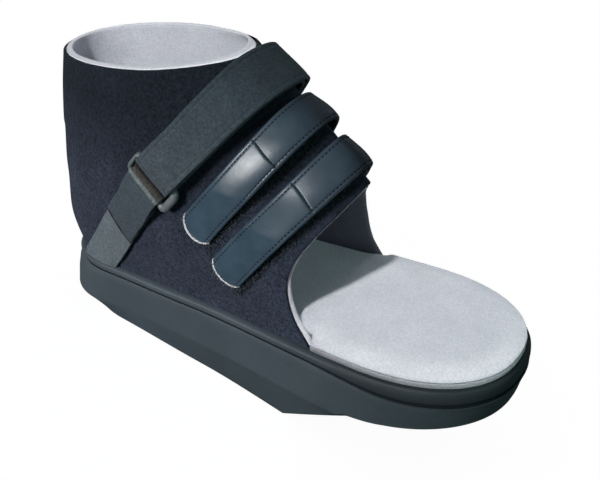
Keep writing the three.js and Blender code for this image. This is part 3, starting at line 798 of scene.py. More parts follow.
def make_leather_strap(name, node, band, leather, raw_edge, backing):
    q, l = LEATHER_LOOP[None, :, 0], LEATHER_LOOP[None, :, 1]
    reach = 85.0
    seam_steps = np.array([-1.6, -1.0, -0.6, -0.3, 0, 0.3, 0.6, 1.0, 1.6]) / reach + SEAM_SPLIT
    end_steps = 1 - np.array([2.4, 1.85, 1.4, 1.0, 0.7, 0.45, 0.2, 0.05]) / reach
    near_t = np.unique(np.concatenate([np.linspace(0, 0.975, 64) ** 1.25, seam_steps, end_steps, [1.0]]))
    far_t = np.unique(np.concatenate([np.linspace(0, 0.975, 48) ** 1.25, end_steps, [1.0]]))
    t = np.concatenate([near_t[::-1], far_t[1:]])[:, None]
    side = np.concatenate([-np.ones(len(near_t)), np.ones(len(far_t) - 1)])[:, None]
    share = np.where(side < 0, seam_share(band, t, q), t)
    from_end = (1 - t) * reach
    thin = np.sqrt(clip01(1 - (1 - clip01(from_end / 1.3)) ** 2)) * 0.9 + 0.1
    pinch = np.where(side < 0, np.exp(-((((t - SEAM_SPLIT) * reach) / 0.4) ** 2)), 0.0)
    puff = 0.05 * np.sin(share * 14.0 + band["offset"]) * np.cos(q / 6.0)
    top = l > 0.2
    lifted = np.where(top, l + puff - 0.4 * pinch * (1 - (np.abs(q) / LEATHER_HALF_WIDTH) ** 6), l)
    grid = leather_point(band, side, share, q, lifted * thin)
    closed = np.roll(LEATHER_LOOP, -1, axis=0)
    under = ((LEATHER_LOOP[:, 1] + closed[:, 1]) / 2 < -0.25)[None, :]
    near_rim = ((side < 0) & (from_end < END_RIM))[:-1]
    finish = np.where(near_rim, 1, np.where(under, 2, 0))
    piece = strap_mesh(name, grid, [leather, raw_edge, backing], finish)
    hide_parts(node)
    return piece


def bar_along(band, q, shift):
    c, s = math.cos(TAB["angle"]), math.sin(TAB["angle"])
    x, height = band_spot(TAB, RING_CENTRE_ALONG + shift, 0.0)
    ox, oh = band_spot(band, 0.0, q)
    return (c * x + s * height - c * ox - s * oh) / math.cos(TAB["angle"] - band["angle"])


HEM_PLACE = ANKLE_HALF_WIDTH - 2.7
ANKLE_LOOP = strap_loop(ANKLE_HALF_WIDTH, WEBBING_THICK, 0.12, (-HEM_PLACE, HEM_PLACE), 0.2, 0.6)


def ankle_path():
    """Stations of the ankle strap: side, share, shift along, lift, and its thickness along and up."""
    fold = RING_BAR_RADIUS + FOLD_CLEARANCE + WEBBING_THICK / 2
    under = RING_STAND_OFF - fold
    over = under + WEBBING_THICK + LAYER_GAP
    rows = []
    for f in np.linspace(1, 0, 40)[:-1] ** 1.5:
        rows.append((1, f, 0, under, 0, 1))
    for f in np.linspace(0, 1, 60) ** 1.5:
        rows.append((-1, f, 0, under, 0, 1))
    for angle in np.linspace(0, math.pi, 26)[1:-1]:
        shift, rise = -math.sin(angle), -math.cos(angle)
        rows.append((-1, 1, fold * shift, RING_STAND_OFF + fold * rise, -shift, -rise))
    for f in np.linspace(1, 0, 70) ** 1.5:
        high = mix(over, RING_STAND_OFF + fold, smooth_step((f - 0.55) / 0.45))
        rows.append((-1, f, 0, high, 0, -1))
    for f in np.linspace(0, 1, 40)[1:] ** 1.5:
        rows.append((1, f * ANKLE_STRAP["free_end"], 0, over, 0, -1))
    return np.array(rows, float)


def ankle_point(path, q, l):
    side, share, shift, height, thick_along, thick_up = (path[:, k][:, None] for k in range(6))
    left = clip01(1 - share)
    lower = smooth_step((q / ANKLE_HALF_WIDTH + 1) / 2)
    spread = q - ANKLE_FLARE * left**FLARE_SHARPNESS * (1 - lower)
    lift = height + ANKLE_LIFT * left**1.5 * lower + RIDGE_CLEARANCE * left**2 + l * thick_up
    ridge = ridge_along(ANKLE_STRAP, spread, lift)
    end = np.where(side < 0, bar_along(ANKLE_STRAP, spread, RING_BAR_SPACING / 2), ANKLE_STRAP["far"])
    along = ridge - share * (ridge - end) + shift + l * thick_along
    return band_point(ANKLE_STRAP, along, spread, lift, side)


def make_ankle_strap(material):
    q, l = ANKLE_LOOP[None, :, 0], -ANKLE_LOOP[None, :, 1]
    grid = ankle_point(ankle_path(), q, l)
    piece = strap_mesh("ankle_strap_webbing", grid, [material])
    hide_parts("ankle_strap")
    return piece


TAB_HEM = TAB_HALF_WIDTH - 1.7
TAB_LOOP = strap_loop(TAB_HALF_WIDTH, TAB_THICK, 0.0, (-TAB_HEM, TAB_HEM), 0.16, 0.5)


def tab_point(path, q, l):
    """path gives for each station: place along as a function of q, lift, and thickness along and up."""
    along = np.array([p[0](q) + 0 * q for p in path])
    lift, thick_along, thick_up = (np.array([p[k] for p in path], float)[:, None] for k in (1, 2, 3))
    return band_point(TAB, along + l * thick_along, q[None, :], lift + l * thick_up, -1.0)


def make_tab_base(material):
    def bottom(q):
        return (SEAT_GAP + math.cos(TAB["angle"]) * (TAB["offset"] + q)) / math.sin(TAB["angle"])

    path = []
    for t in np.linspace(0, 1, 40):
        lift = TAB_GAP + TAB_THICK / 2 + TAB_FOOT_GAP * (1 - t)
        path.append((lambda q, t=t: mix(bottom(q), TAB_BASE_TOP, t), lift, 0, 1))
    grid = tab_point(path, TAB_LOOP[:, 0], TAB_LOOP[None, :, 1])
    piece = strap_mesh("ring_tab_base_webbing", grid, [material])
    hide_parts("ring_tab_base")
    return piece


def step_line(q):
    """Where the tab's folded layer ends on its base."""
    return TAB_STEP_MID + TAB_STEP_SLANT * q + TAB_STEP_WAVE * np.sin(0.8 * q + 0.5)


def make_tab_loop(material, shaded, lit_fold_corner, dark):
    fold = RING_BAR_RADIUS + FOLD_CLEARANCE + TAB_THICK / 2
    bar = RING_CENTRE_ALONG - RING_BAR_SPACING / 2
    over = TAB_GAP + TAB_THICK + SEAT_GAP + TAB_THICK / 2
    path = []
    for t in np.linspace(0, 1, 14):
        place = mix(TAB_RETURN_START, bar, t)
        path.append((lambda q, place=place: place, RING_STAND_OFF - fold, 0, 1))
    angle = np.linspace(0, math.pi, 42)
    places = bar + fold * np.sin(angle) ** FOLD_SQUARENESS
    lifts = RING_STAND_OFF - fold * np.sign(np.cos(angle)) * np.abs(np.cos(angle)) ** FOLD_SQUARENESS
    places = places - FOLD_LEAN * np.maximum(0, lifts - RING_STAND_OFF)
    ahead, rise = np.gradient(places), np.gradient(lifts)
    length = np.hypot(ahead, rise)
    for k in range(1, len(angle) - 1):
        place = places[k]
        path.append((lambda q, place=place: place, lifts[k], -rise[k] / length[k], ahead[k] / length[k]))
    shoulder = bar - FOLD_LEAN * fold
    for t in np.linspace(0, 1, 34):
        ramp = smooth_step(t * (bar - TAB_STEP_MID) / TAB_RAMP_LENGTH)
        lift = mix(RING_STAND_OFF + fold, over, ramp)
        path.append((lambda q, t=t: mix(shoulder, step_line(q), t), lift, 0, -1))
    grid = tab_point(path, TAB_LOOP[:, 0], TAB_LOOP[None, :, 1])
    facing = np.array([p[2] for p in path[:-1]])
    # Painted light and shade on the fold: shade where it faces the slot, a highlight on its corner, and
    # shade along the step at its end.
    finish = np.where(facing < -0.75, 1, np.where(facing < -0.3, 2, 0))[:, None]
    finish[-1] = 3
    piece = strap_mesh("ring_tab_webbing", grid, [material, shaded, lit_fold_corner, dark], finish)
    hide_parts("ring_tab")
    return piece


def make_ring(material):
    half = RING_BAR_SPACING / 2
    straight = RING_HALF_LENGTH - RING_CORNER_RADIUS
    rows = []
    for k, (a, q) in enumerate([(1, 1), (-1, 1), (-1, -1), (1, -1)]):
        for angle in (k + np.linspace(0, 1, 9)) * (math.pi / 2):
            along = a * (half - RING_CORNER_RADIUS) + RING_CORNER_RADIUS * math.cos(angle)
            rows.append((along, q * straight + RING_CORNER_RADIUS * math.sin(angle), angle))
        if a * q < 0:
            for t in np.linspace(0, 1, 20)[1:-1]:
                rows.append((a * half, q * straight * (1 - 2 * t), (k + 1) * math.pi / 2))
    along, across, turn = (np.array(v)[:, None] for v in zip(*rows))
    around = np.linspace(0, 2 * math.pi, 21)[:-1][None, :]
    end_share = smooth_step((np.abs(across) - straight) / RING_CORNER_RADIUS + 0.4)
    end_radius = np.where(across < 0, RING_SLIM_RADIUS, RING_BROAD_RADIUS)
    across = across + np.where(across < 0, RING_TUCK * end_share, 0.0)
    out = mix(RING_BAR_RADIUS, end_radius, end_share) * np.cos(around)
    grid = band_point(
        TAB,
        RING_CENTRE_ALONG + along + out * np.cos(turn),
        RING_ACROSS + across + out * np.sin(turn),
        RING_STAND_OFF + RING_BAR_RADIUS * np.sin(around),
        -1.0,
    )
    closed = np.concatenate([grid, grid[:1]])
    work = Patchwork()
    work.grid(stand(closed), wrap=True)
    piece = work.build("strap_ring_bar", [material])
    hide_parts("strap_ring")
    return piece


# Stitches


def path_frames(points, ups, places):
    """Points, tangents and ups at given lengths along a dense line."""
    run = np.concatenate([[0], np.cumsum(np.linalg.norm(np.diff(points, axis=0), axis=1))])

    def at(values, s):
        return np.stack([np.interp(s, run, values[:, k]) for k in range(3)], -1)

    ahead = at(points, places + 0.05) - at(points, places - 0.05)
    return at(points, places), unit(ahead), unit(at(ups, places))


def stitch_row(name, points, ups, material, pitch, length, radius):
    """Thread stitches along a line on a surface, each a short bowed capsule."""
    total = np.linalg.norm(np.diff(points, axis=0), axis=1).sum()
    starts = np.arange(pitch * 0.5, total - length, pitch)
    ring_t = np.array([0.0, 0.12, 0.35, 0.65, 0.88, 1.0])
    girth = np.array([0.15, 0.75, 1.0, 1.0, 0.75, 0.15])
    bow = 0.45 * radius * np.sin(ring_t * math.pi) - 0.15 * radius
    centre, tangent, up = path_frames(points, ups, (starts[:, None] + ring_t * length).reshape(-1))
    shape = (len(starts), len(ring_t), 3)
    centre, up = centre.reshape(shape), up.reshape(shape)
    sidewise = unit(np.cross(tangent.reshape(shape), up))
    around = np.linspace(0, 2 * math.pi, 7)[:-1]
    spokes = np.cos(around)[:, None] * sidewise[..., None, :] + np.sin(around)[:, None] * up[..., None, :]
    rings = centre[..., None, :] + up[..., None, :] * bow[None, :, None, None]
    rings = rings + spokes * (radius * girth)[None, :, None, None]
    work = Patchwork()
    for stitch in stand(rings):
        index = work.grid(stitch, wrap=True)
        work.cap(index[0, :-1])
        work.cap(index[-1, :-1])
    piece = work.build(name, [material], 180)
    return piece


def leather_line(band, side, share, q, sink):
    """A line on a leather strap's upper face, with its ups."""
    share = np.asarray(share, float)
    q = np.broadcast_to(np.asarray(q, float), share.shape)
    top = np.interp(q, *top_of_loop(LEATHER_LOOP)) - sink
    points = leather_point(band, side, share, q, top)
    above = leather_point(band, side, share, q, top + 0.5)
    return points, unit(above - points)


def top_of_loop(loop):
    count = int(np.argmax(loop[:, 0] > loop[:, 0].max() - 1.2))
    return loop[:count, 0], loop[:count, 1]


def make_leather_stitches(name, band, material):
    rows = []
    for k, q in enumerate((-LEATHER_GROOVE, LEATHER_GROOVE)):
        far_share = np.linspace(0.97, 0, 60)[:-1]
        near_share = np.linspace(0, 0.985, 90)
        far_points, far_ups = leather_line(band, 1.0, far_share, q, 0.0)
        near_points, near_ups = leather_line(band, -1.0, near_share, q, 0.0)
        points = np.concatenate([far_points, near_points])
        ups = np.concatenate([far_ups, near_ups])
        row_name = f"{name}_edge_{k + 1}"
        rows.append(stitch_row(row_name, points, ups, material, 2.2, 1.5, 0.32))
    q = np.linspace(-LEATHER_GROOVE, LEATHER_GROOVE, 40)
    share = seam_share(band, np.full_like(q, SEAM_SPLIT), q)
    points, ups = leather_line(band, -1.0, share, q, 0.3)
    rows.append(stitch_row(f"{name}_cross", points, ups, material, 1.9, 1.5, 0.3))
    return rows


# Loose fibres


def fibre_tuft(name, roots, ups, rng, lengths, radius, material):
    """Short bent fibres that stand on roots and lean every way, as one mesh."""
    count = len(roots)
    lean = unit(ups + rng.normal(0.0, 0.9, (count, 3)))
    curl = rng.normal(0.0, 0.5, (count, 3))
    length = rng.uniform(*lengths, count)
    t = np.array([0.0, 0.35, 0.7, 1.0])
    bend = lean[:, None] * t[None, :, None] + curl[:, None] * (t**2)[None, :, None]
    spine = roots[:, None] + bend * length[:, None, None]
    sideways = unit(np.cross(lean, ups + 0.01))
    across = unit(np.cross(lean, sideways))
    turn = np.linspace(0, 2 * math.pi, 4)[:-1]
    spokes = np.cos(turn)[:, None] * sideways[:, None] + np.sin(turn)[:, None] * across[:, None]
    girth = radius * np.array([1.0, 1.0, 0.8, 0.3])
    tubes = spine[:, :, None] + spokes[:, None] * girth[None, :, None, None]
    work = Patchwork()
    for tube in stand(tubes):
        index = work.grid(tube, wrap=True)
        work.cap(index[0, :-1])
        work.cap(index[-1, :-1])
    return work.build(name, [material], 180)


def wall_roots(band, along, across):
    """Places on the upper's outer face under a band, on the near side, with their ups."""
    roots = band_point(band, along, across, 0.0, -1.0)
    return roots, unit(band_point(band, along, across, 1.0, -1.0) - roots)


def make_strap_pile(name, band, count, seed, material):
    """Fuzzy pile that shows along a leather strap's lower edge and round its near end."""
    rng = np.random.default_rng(seed)
    across = rng.uniform(LEATHER_HALF_WIDTH - 1.5, LEATHER_HALF_WIDTH + 3.6, count)
    ridge = ridge_along(band, across, np.zeros(count)) - 3.0
    along = mix(band["near"] - 1.0, ridge, rng.uniform(0.0, 1.0, count))
    roots, ups = wall_roots(band, along, across)
    return fibre_tuft(name, roots, ups, rng, (0.7, 2.0), 0.09, material)


def make_end_fray(name, band, count, seed, material):
    """Pale threads that stray from a leather strap's cut near end."""
    rng = np.random.default_rng(seed)
    across = rng.uniform(-0.95, 0.95, count) * LEATHER_HALF_WIDTH
    end = leather_end(band, -1.0, across)
    roots = band_point(band, end + 0.4, across, STRAP_GAP + 0.6, -1.0)
    ahead = band_point(band, end - 0.6, across, STRAP_GAP + 0.7, -1.0) - roots
    return fibre_tuft(name, roots, unit(ahead), rng, (0.6, 2.4), 0.07, material)


# Materials


PLAIN_TINT = (1.0, 1.0, 1.0)


class Finish:
    """Short way to put together the nodes of one material."""

    def __init__(self, name, roughness, specular=0.4):
        self.material = bpy.data.materials.new(name)
        self.material.use_nodes = True
        self.tree = self.material.node_tree
        self.bsdf = self.tree.nodes["Principled BSDF"]
        self.bsdf.inputs["Roughness"].default_value = roughness
        self.bsdf.inputs["Specular IOR Level"].default_value = specular

    def node(self, kind, inputs=None, **settings):
        made = self.tree.nodes.new(kind)
        for key, value in settings.items():
            setattr(made, key, value)
        for key, value in (inputs or {}).items():
            if isinstance(value, bpy.types.NodeSocket):
                self.tree.links.new(value, made.inputs[key])
            else:
                made.inputs[key].default_value = value
        return made

    def place(self):
        return self.node("ShaderNodeTexCoord").outputs["Object"]

    def lay(self):
        """The first of the two values that a mesh keeps for each of its points."""
        spot = self.node("ShaderNodeUVMap", uv_map="lay").outputs["UV"]
        return self.node("ShaderNodeSeparateXYZ", {"Vector": spot}).outputs["X"]

    def between(self, axis, low, high):
        """How far a place lies between two places on an axis, in metres, from 0 to 1."""
        parts = self.node("ShaderNodeSeparateXYZ", {"Vector": self.place()})
        inputs = {"Value": parts.outputs[axis], "From Min": low, "From Max": high}
        return self.node("ShaderNodeMapRange", inputs).outputs["Result"]

    def fade(self, colour, axis, low, high, tint_low, tint_high):
        """A colour that is tinted from one place on an axis to another."""
        tint = self.ramp(self.between(axis, low, high), 0.0, 1.0, tint_low, tint_high)
        return self.multiply(colour, tint)

    def noise(self, scale, detail, roughness):
        inputs = {"Scale": scale, "Detail": detail, "Roughness": roughness, "Vector": self.place()}
        return self.node("ShaderNodeTexNoise", inputs).outputs["Fac"]

    def ramp(self, value, low, high, dark, light):
        made = self.node("ShaderNodeValToRGB", {"Fac": value})
        made.color_ramp.elements[0].position = low
        made.color_ramp.elements[1].position = high
        made.color_ramp.elements[0].color = (*dark, 1)
        made.color_ramp.elements[1].color = (*light, 1)
        return made.outputs["Color"]

    def multiply(self, a, b):
        """One colour tinted by another; a colour mix keeps its share and colours at these places."""
        share, first, second, result = 0, 6, 7, 2
        inputs = {share: 1.0, first: a, second: b}
        made = self.node("ShaderNodeMix", inputs, data_type="RGBA", blend_type="MULTIPLY")
        return made.outputs[result]

    def colour(self, socket):
        self.tree.links.new(socket, self.bsdf.inputs["Base Color"])

    def gloss(self, axis, start, stop, low, high):
        """A gloss that grows from one place on an axis to another."""
        inputs = {"Value": self.between(axis, start, stop), "To Min": low, "To Max": high}
        spread = self.node("ShaderNodeMapRange", inputs)
        self.tree.links.new(spread.outputs["Result"], self.bsdf.inputs["Specular IOR Level"])

    def roughness(self, socket, low, high):
        spread = self.node("ShaderNodeMapRange", {"Value": socket, "To Min": low, "To Max": high})
        self.tree.links.new(spread.outputs["Result"], self.bsdf.inputs["Roughness"])

    def bump(self, heights):
        """Bumps from pairs of height socket and depth in metres, one over the other."""
        normal = None
        for height, depth in heights:
            inputs = {"Height": height, "Strength": 1.0, "Distance": depth}
            if normal is not None:
                inputs["Normal"] = normal
            normal = self.node("ShaderNodeBump", inputs).outputs["Normal"]
        self.tree.links.new(normal, self.bsdf.inputs["Normal"])

    def sheen(self, weight, roughness, tint):
        self.bsdf.inputs["Sheen Weight"].default_value = weight
        self.bsdf.inputs["Sheen Roughness"].default_value = roughness
        self.bsdf.inputs["Sheen Tint"].default_value = (*tint, 1)


def velour_material():
    f = Finish("velour_charcoal", 0.95, 0.15)
    cloud = f.ramp(f.noise(38.0, 5.0, 0.6), 0.3, 0.7, (0.015, 0.0195, 0.0305), (0.0235, 0.029, 0.0435))
    speck = f.ramp(f.noise(620.0, 4.0, 0.75), 0.3, 0.75, (0.1, 0.12, 0.15), (2.45, 2.45, 2.5))
    pile = f.multiply(cloud, speck)
    f.colour(f.fade(pile, "Z", 0.085, 0.15, PLAIN_TINT, (0.27, 0.33, 0.35)))
    f.sheen(0.06, 0.5, (0.5, 0.56, 0.7))
    f.bump([(f.noise(420.0, 4.0, 0.65), 0.0005), (f.noise(2300.0, 2.0, 0.6), 0.0003)])
    return f.material


def felt_material(name, light, dark, low_shade_tint=None, shoulder_highlight_tint=None):
    """Felt, with painted shade low down or a painted highlight on its shoulder, if these tints are given.
    """
    f = Finish(name, 0.95, 0.1)
    cloud = f.ramp(f.noise(60.0, 4.0, 0.6), 0.3, 0.7, dark, light)
    speck = f.ramp(f.noise(900.0, 4.0, 0.75), 0.3, 0.7, (0.78, 0.78, 0.8), (1.1, 1.1, 1.1))
    pile = f.multiply(cloud, speck)
    # Painted highlight: the felt is tinted paler on its shoulder, where it would catch the light.
    if shoulder_highlight_tint is not None:
        pile = f.multiply(pile, f.ramp(f.lay(), 0.0, 1.0, PLAIN_TINT, shoulder_highlight_tint))
    # Painted shade: the felt is darkened low down, inside the shoe.
    if low_shade_tint is not None:
        pile = f.fade(pile, "Z", 0.11, 0.14, low_shade_tint, PLAIN_TINT)
    f.colour(pile)
    f.sheen(0.2, 0.5, (0.9, 0.92, 1.0))
    f.bump([(f.noise(260.0, 3.0, 0.6), 0.0003), (f.noise(1400.0, 3.0, 0.7), 0.0003)])
    return f.material


def leather_material(name, dull_below, glossy_above):
    f = Finish(name, 0.4, 0.5)
    tone = f.noise(70.0, 4.0, 0.6)
    f.colour(f.ramp(tone, 0.3, 0.75, (0.029, 0.05, 0.071), (0.047, 0.076, 0.102)))
    grain = f.node("ShaderNodeTexVoronoi", {"Scale": 1500.0, "Randomness": 1.0, "Vector": f.place()})
    crease = f.noise(260.0, 5.0, 0.65)
    f.roughness(f.noise(240.0, 4.0, 0.6), 0.3, 0.42)
    f.gloss("Z", dull_below, glossy_above, 0.0, 0.46)
    f.bump([(crease, 0.00005), (grain.outputs["Distance"], 0.00003)])
    return f.material


def raw_edge_material(name, dark, light):
    f = Finish(name, 0.8, 0.3)
    fray = f.noise(1300.0, 4.0, 0.7)
    f.colour(f.ramp(fray, 0.35, 0.65, dark, light))
    f.bump([(fray, 0.0004)])
    return f.material


def webbing_material(name, light, dark, high_tint=None):
    """Webbing, darker high up if that tint is given."""
    f = Finish(name, 0.88, 0.25)
    cloud = f.ramp(f.noise(110.0, 5.0, 0.65), 0.3, 0.7, dark, light)
    speck = f.ramp(f.noise(700.0, 4.0, 0.75), 0.3, 0.7, (0.53, 0.53, 0.53), (1.45, 1.45, 1.45))
    cloth = f.multiply(cloud, speck)
    if high_tint is not None:
        cloth = f.fade(cloth, "Z", 0.125, 0.178, PLAIN_TINT, high_tint)
    f.colour(cloth)
    f.sheen(0.08, 0.5, (0.7, 0.75, 0.8))
    f.bump([(f.noise(420.0, 4.0, 0.7), 0.00025), (f.noise(1500.0, 3.0, 0.7), 0.0003)])
    return f.material


def foam_material(name, specular, start, stop, heel_tint, toe_tint):
    """Foam whose colour is tinted from one place along the sole to another, as painted light and shade."""
    f = Finish(name, 0.62, specular)
    cloud = f.ramp(f.noise(30.0, 5.0, 0.6), 0.3, 0.7, (0.038, 0.051, 0.059), (0.047, 0.062, 0.071))
    speck = f.ramp(f.noise(2200.0, 2.0, 0.6), 0.3, 0.7, (0.88, 0.88, 0.88), (1.1, 1.1, 1.1))
    foam = f.multiply(cloud, speck)
    f.colour(f.fade(foam, "X", start, stop, heel_tint, toe_tint))
    f.roughness(f.noise(180.0, 4.0, 0.6), 0.55, 0.72)
    f.bump([(f.noise(1300.0, 2.0, 0.6), 0.00012), (f.noise(45.0, 2.0, 0.5), 0.0006)])
    return f.material


def board_material():
    f = Finish("insole_cut_edge", 0.85, 0.25)
    f.colour(f.ramp(f.noise(1200.0, 4.0, 0.7), 0.3, 0.7, (0.3, 0.305, 0.33), (0.5, 0.51, 0.55)))
    f.bump([(f.noise(1600.0, 3.0, 0.7), 0.0004)])
    return f.material


def plastic_material():
    f = Finish("ring_satin_plastic", 0.45, 0.45)
    f.colour(f.ramp(f.noise(300.0, 4.0, 0.6), 0.3, 0.7, (0.07, 0.082, 0.09), (0.105, 0.12, 0.128)))
    f.roughness(f.noise(500.0, 3.0, 0.6), 0.38, 0.55)
    f.bump([(f.noise(900.0, 2.0, 0.5), 0.00008)])
    return f.material


def thread_material():
    f = Finish("dark_thread", 0.8, 0.3)
    twist = f.noise(2600.0, 2.0, 0.6)
    f.colour(f.ramp(twist, 0.3, 0.7, (0.002, 0.003, 0.004), (0.012, 0.015, 0.018)))
    f.bump([(twist, 0.0001)])
    return f.material


def fibre_material(name, dark, light):
    f = Finish(name, 0.9, 0.2)
    f.colour(f.ramp(f.noise(900.0, 2.0, 0.5), 0.45, 0.7, dark, light))
    return f.material


def floor_material():
    f = Finish("pale_floor", 0.9, 0.1)
    f.colour(f.ramp(f.noise(2.0, 3.0, 0.5), 0.3, 0.7, (0.34, 0.34, 0.34), (0.36, 0.36, 0.36)))
    f.bsdf.inputs["Emission Color"].default_value = (1, 1, 1, 1)
    f.bsdf.inputs["Emission Strength"].default_value = FLOOR_GLOW
    return f.material


# Stage


def camera_axes():
    a, e = CAMERA_AZIMUTH, CAMERA_ELEVATION
    back = Vector((math.sin(a) * math.cos(e), -math.cos(a) * math.cos(e), math.sin(e)))
    right = Vector((math.cos(a), math.sin(a), 0))
    up = back.cross(right)
    c, s = math.cos(CAMERA_ROLL), math.sin(CAMERA_ROLL)
    return c * right + s * up, c * up - s * right, back


def make_camera():
    right, up, back = camera_axes()
    target = Vector(CAMERA_TARGET) - Vector((ORIGIN_X, ORIGIN_Y, 0))
    eye = target + back * CAMERA_DISTANCE + right * CAMERA_SLIDE[0] + up * CAMERA_SLIDE[1]
    lens = bpy.data.cameras.new("photo_camera")
    lens.sensor_width = SENSOR_WIDTH
    lens.lens = SENSOR_WIDTH * CAMERA_FOCAL_PX / FRAME_WIDTH_PX
    lens.clip_start = 0.01
    camera = bpy.data.objects.new("photo_camera", lens)
    turn = Matrix((right, up, back)).transposed().to_4x4()
    camera.matrix_world = Matrix.Translation(eye * MM) @ turn
    bpy.context.scene.collection.objects.link(camera)
    bpy.context.scene.camera = camera


def area_light(name, azimuth, elevation, distance, size, power, colour=(1, 1, 1)):
    """A soft box that looks at the shoe from an azimuth and elevation in degrees."""
    a, e = math.radians(azimuth), math.radians(elevation)
    back = Vector((math.sin(a) * math.cos(e), -math.cos(a) * math.cos(e), math.sin(e)))
    light = bpy.data.lights.new(name, "AREA")
    light.shape = "DISK"
    light.size = size
    light.energy = power
    light.color = colour
    lamp = bpy.data.objects.new(name, light)
    lamp.location = Vector((0, 0, 0.09)) + back * distance
    lamp.rotation_mode = "QUATERNION"
    lamp.rotation_quaternion = (-back).to_track_quat("-Z", "Y")
    lamp.visible_camera = False
    bpy.context.scene.collection.objects.link(lamp)
    return lamp


def make_world():
    """Soft light from all round, dim below the floor's level."""
    world = bpy.data.worlds.new("studio")
    world.use_nodes = True
    tree = world.node_tree
    place = tree.nodes.new("ShaderNodeTexCoord")
    parts = tree.nodes.new("ShaderNodeSeparateXYZ")
    spread = tree.nodes.new("ShaderNodeMapRange")
    spread.inputs["From Min"].default_value = -0.15
    spread.inputs["From Max"].default_value = 0.35
    spread.inputs["To Min"].default_value = LOW_SKY
    spread.inputs["To Max"].default_value = HIGH_SKY
    background = tree.nodes["Background"]
    background.inputs["Color"].default_value = (0.95, 0.98, 1.0, 1)
    tree.links.new(place.outputs["Generated"], parts.inputs["Vector"])
    tree.links.new(parts.outputs["Z"], spread.inputs["Value"])
    tree.links.new(spread.outputs["Result"], background.inputs["Strength"])
    bpy.context.scene.world = world


def stage_piece(name, points, faces, material):
    """A piece of the studio that the camera sees and that gives the shoe no light."""
    mesh = bpy.data.meshes.new(name)
    mesh.from_pydata(points, [], faces)
    mesh.materials.append(material)
    piece = bpy.data.objects.new(name, mesh)
    bpy.context.scene.collection.objects.link(piece)
    piece.visible_diffuse = False
    piece.visible_glossy = False
    return piece


def make_floor():
    """A pale floor, and pale walls far off that cast no shadow."""
    r = FLOOR_REACH
    corners = [(-r, -r, 0), (r, -r, 0), (r, r, 0), (-r, r, 0)]
    material = floor_material()
    stage_piece("floor", corners, [(0, 1, 2, 3)], material)
    tops = [(x, y, BACKDROP_HEIGHT) for x, y, z in corners]
    sides = [(k, 4 + k, 4 + (k + 1) % 4, (k + 1) % 4) for k in range(4)]
    walls = stage_piece("backdrop", corners + tops, sides, material)
    walls.visible_shadow = False


def light_only(lamp, pieces):
    """Let a lamp light these pieces alone; everything still casts its shadow."""
    lit = bpy.data.collections.new(lamp.name + "_pieces")
    for piece in pieces:
        lit.objects.link(piece)
    lamp.light_linking.receiver_collection = lit


def make_lights(insole_pieces, lining_pieces, leather_pieces, dark_pieces):
    """A key light of its own for each felt, the leather and the dark pieces, and weak lights besides."""
    felt_pieces = insole_pieces + lining_pieces
    light_only(area_light("insole_key_light", 4, 63, 1.6, 0.1, 26.5), insole_pieces)
    front_light = area_light("front_light", 75, 24, 1.6, 0.6, 6.0, (0.6, 1.0, 0.9))
    light_only(front_light, insole_pieces + dark_pieces)
    light_only(area_light("lining_key_light", 5, 52, 1.6, 0.12, 26.0), lining_pieces)
    light_only(area_light("lining_front_light", 75, 24, 1.6, 0.6, 0.8), lining_pieces)
    light_only(area_light("leather_key_light", -19, 13, 1.6, 0.45, 29.0), leather_pieces)
    light_only(area_light("dark_key_light", -22, 24, 1.6, 0.5, 32.0), dark_pieces)
    back_light = area_light("back_light", 185, 12, 1.6, 0.8, 8.0)
    back_light.visible_glossy = False
    light_only(back_light, felt_pieces + leather_pieces + dark_pieces)
    make_world()
    bpy.context.scene.view_settings.view_transform = "Standard"


def make_felt_pieces():
    insole_felt = ((0.55, 0.565, 0.61), (0.485, 0.5, 0.545))
    lining_felt = ((0.82, 0.84, 0.9), (0.72, 0.74, 0.8))
    shaded_rim_felt = ((0.62, 0.635, 0.68), (0.53, 0.545, 0.59))
    lit_edge_felt = ((0.86, 0.87, 0.92), (0.72, 0.73, 0.78))
    # The lining's felt gets painted shade low down, inside the shoe.
    lining = felt_material("lining_felt_finish", *lining_felt, low_shade_tint=(0.24, 0.26, 0.29))
    # The insole's felt gets a painted highlight on its near shoulder.
    insole_finish = felt_material("insole_felt_finish", *insole_felt, shoulder_highlight_tint=(1.16, 1.14, 1.11))
    insole = [
        make_insole_base(board_material()),
        make_insole_cover(insole_finish),
    ]
    # A darker copy of the lining felt for the rim's top: painted shade where the rim faces up into the
    # light.
    rim = felt_material("lining_rim_painted_shade", *shaded_rim_felt)
    # A paler copy of the lining felt for the near front edge, without the painted shade low down: painted
    # light on the edge.
    cut_edge = felt_material("lining_edge_painted_light", *lit_edge_felt)
    return insole, [make_lining(lining, rim, cut_edge)]


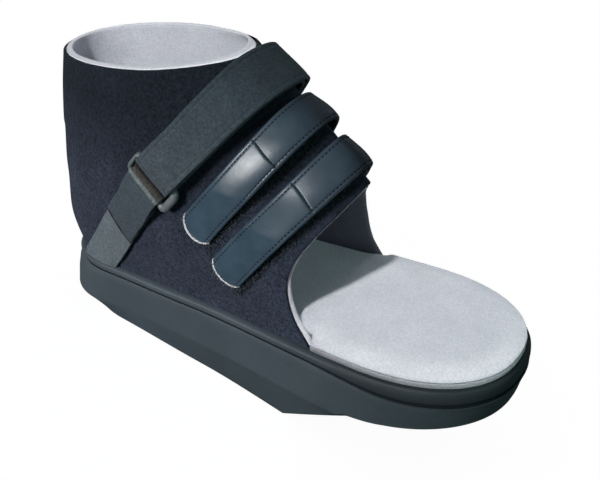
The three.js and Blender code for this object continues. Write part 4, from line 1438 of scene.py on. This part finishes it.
def make_leather_pieces():
    upper_leather = leather_material("upper_strap_leather", 0.124, 0.141)
    lower_leather = leather_material("lower_strap_leather", 0.112, 0.13)
    raw_edge = raw_edge_material("strap_frayed_end", (0.16, 0.17, 0.18), (0.75, 0.76, 0.78))
    backing = raw_edge_material("strap_backing", (0.03, 0.036, 0.042), (0.09, 0.1, 0.11))
    thread = thread_material()
    pale = fibre_material("frayed_thread", (0.2, 0.21, 0.22), (0.6, 0.61, 0.63))
    ends = (raw_edge, backing)
    upper_name = "instep_strap_upper"
    lower_name = "instep_strap_lower"
    pieces = [
        make_leather_strap(upper_name + "_leather", upper_name, UPPER_STRAP, upper_leather, *ends),
        make_leather_strap(lower_name + "_leather", lower_name, LOWER_STRAP, lower_leather, *ends),
        make_end_fray("upper_strap_fray", UPPER_STRAP, 150, 11, pale),
        make_end_fray("lower_strap_fray", LOWER_STRAP, 150, 12, pale),
    ]
    pieces += make_leather_stitches("upper_strap_stitches", UPPER_STRAP, thread)
    pieces += make_leather_stitches("lower_strap_stitches", LOWER_STRAP, thread)
    return pieces


def make_dark_pieces():
    # Painted shade darker toward the toe on the slab, lower facet and lip, and painted light paler at the
    # heel on the facet and lip.
    slab = foam_material("sole_moulded_foam", 0.35, 0.04, 0.1, (1.0, 1.0, 1.05), (0.68, 0.75, 0.76))
    facet = foam_material("sole_lower_facet", 0.35, -0.1, 0.0, (1.05, 1.1, 1.2), (0.74, 0.78, 0.8))
    lip = foam_material("sole_lip", 0.35, 0.02, 0.09, (1.1, 1.1, 1.15), (0.36, 0.4, 0.4))
    # Painted shade in the groove under the lip.
    groove = foam_material("sole_groove_painted_shade", 0.02, 0.02, 0.09, (0.24, 0.25, 0.27), (0.14, 0.16, 0.17))
    tab = webbing_material("tab_webbing_finish", (0.038, 0.053, 0.065), (0.03, 0.042, 0.052))
    tab_light = webbing_material("tab_base_finish", (0.1, 0.122, 0.138), (0.078, 0.098, 0.112))
    # Painted shade, brownish, on the fold's side that faces the slot under the strap.
    shaded = webbing_material("tab_fold_painted_shade", (0.075, 0.068, 0.062), (0.055, 0.05, 0.046))
    # Painted highlight on the fold's corner over the ring's bar.
    lit_fold_corner = webbing_material("tab_fold_painted_highlight", (0.13, 0.15, 0.155), (0.1, 0.118, 0.122))
    # Painted shade along the step where the folded layer ends on the base.
    seam = webbing_material("tab_step_painted_shade", (0.014, 0.018, 0.022), (0.008, 0.01, 0.013))
    strap_tones = ((0.048, 0.06, 0.074), (0.035, 0.045, 0.056))
    strap = webbing_material("ankle_webbing_finish", *strap_tones, high_tint=(0.5, 0.6, 0.64))
    pile = fibre_material("strap_pile", (0.006, 0.008, 0.012), (0.13, 0.145, 0.165))
    return [
        make_sole(slab, facet, lip, groove),
        make_upper(velour_material()),
        make_ankle_strap(strap),
        make_ring(plastic_material()),
        make_tab_loop(tab, shaded, lit_fold_corner, seam),
        make_tab_base(tab_light),
        make_strap_pile("upper_strap_pile", UPPER_STRAP, 2200, 21, pile),
        make_strap_pile("lower_strap_pile", LOWER_STRAP, 2200, 22, pile),
    ]


make_camera()
make_floor()
make_lights(*make_felt_pieces(), make_leather_pieces(), make_dark_pieces())
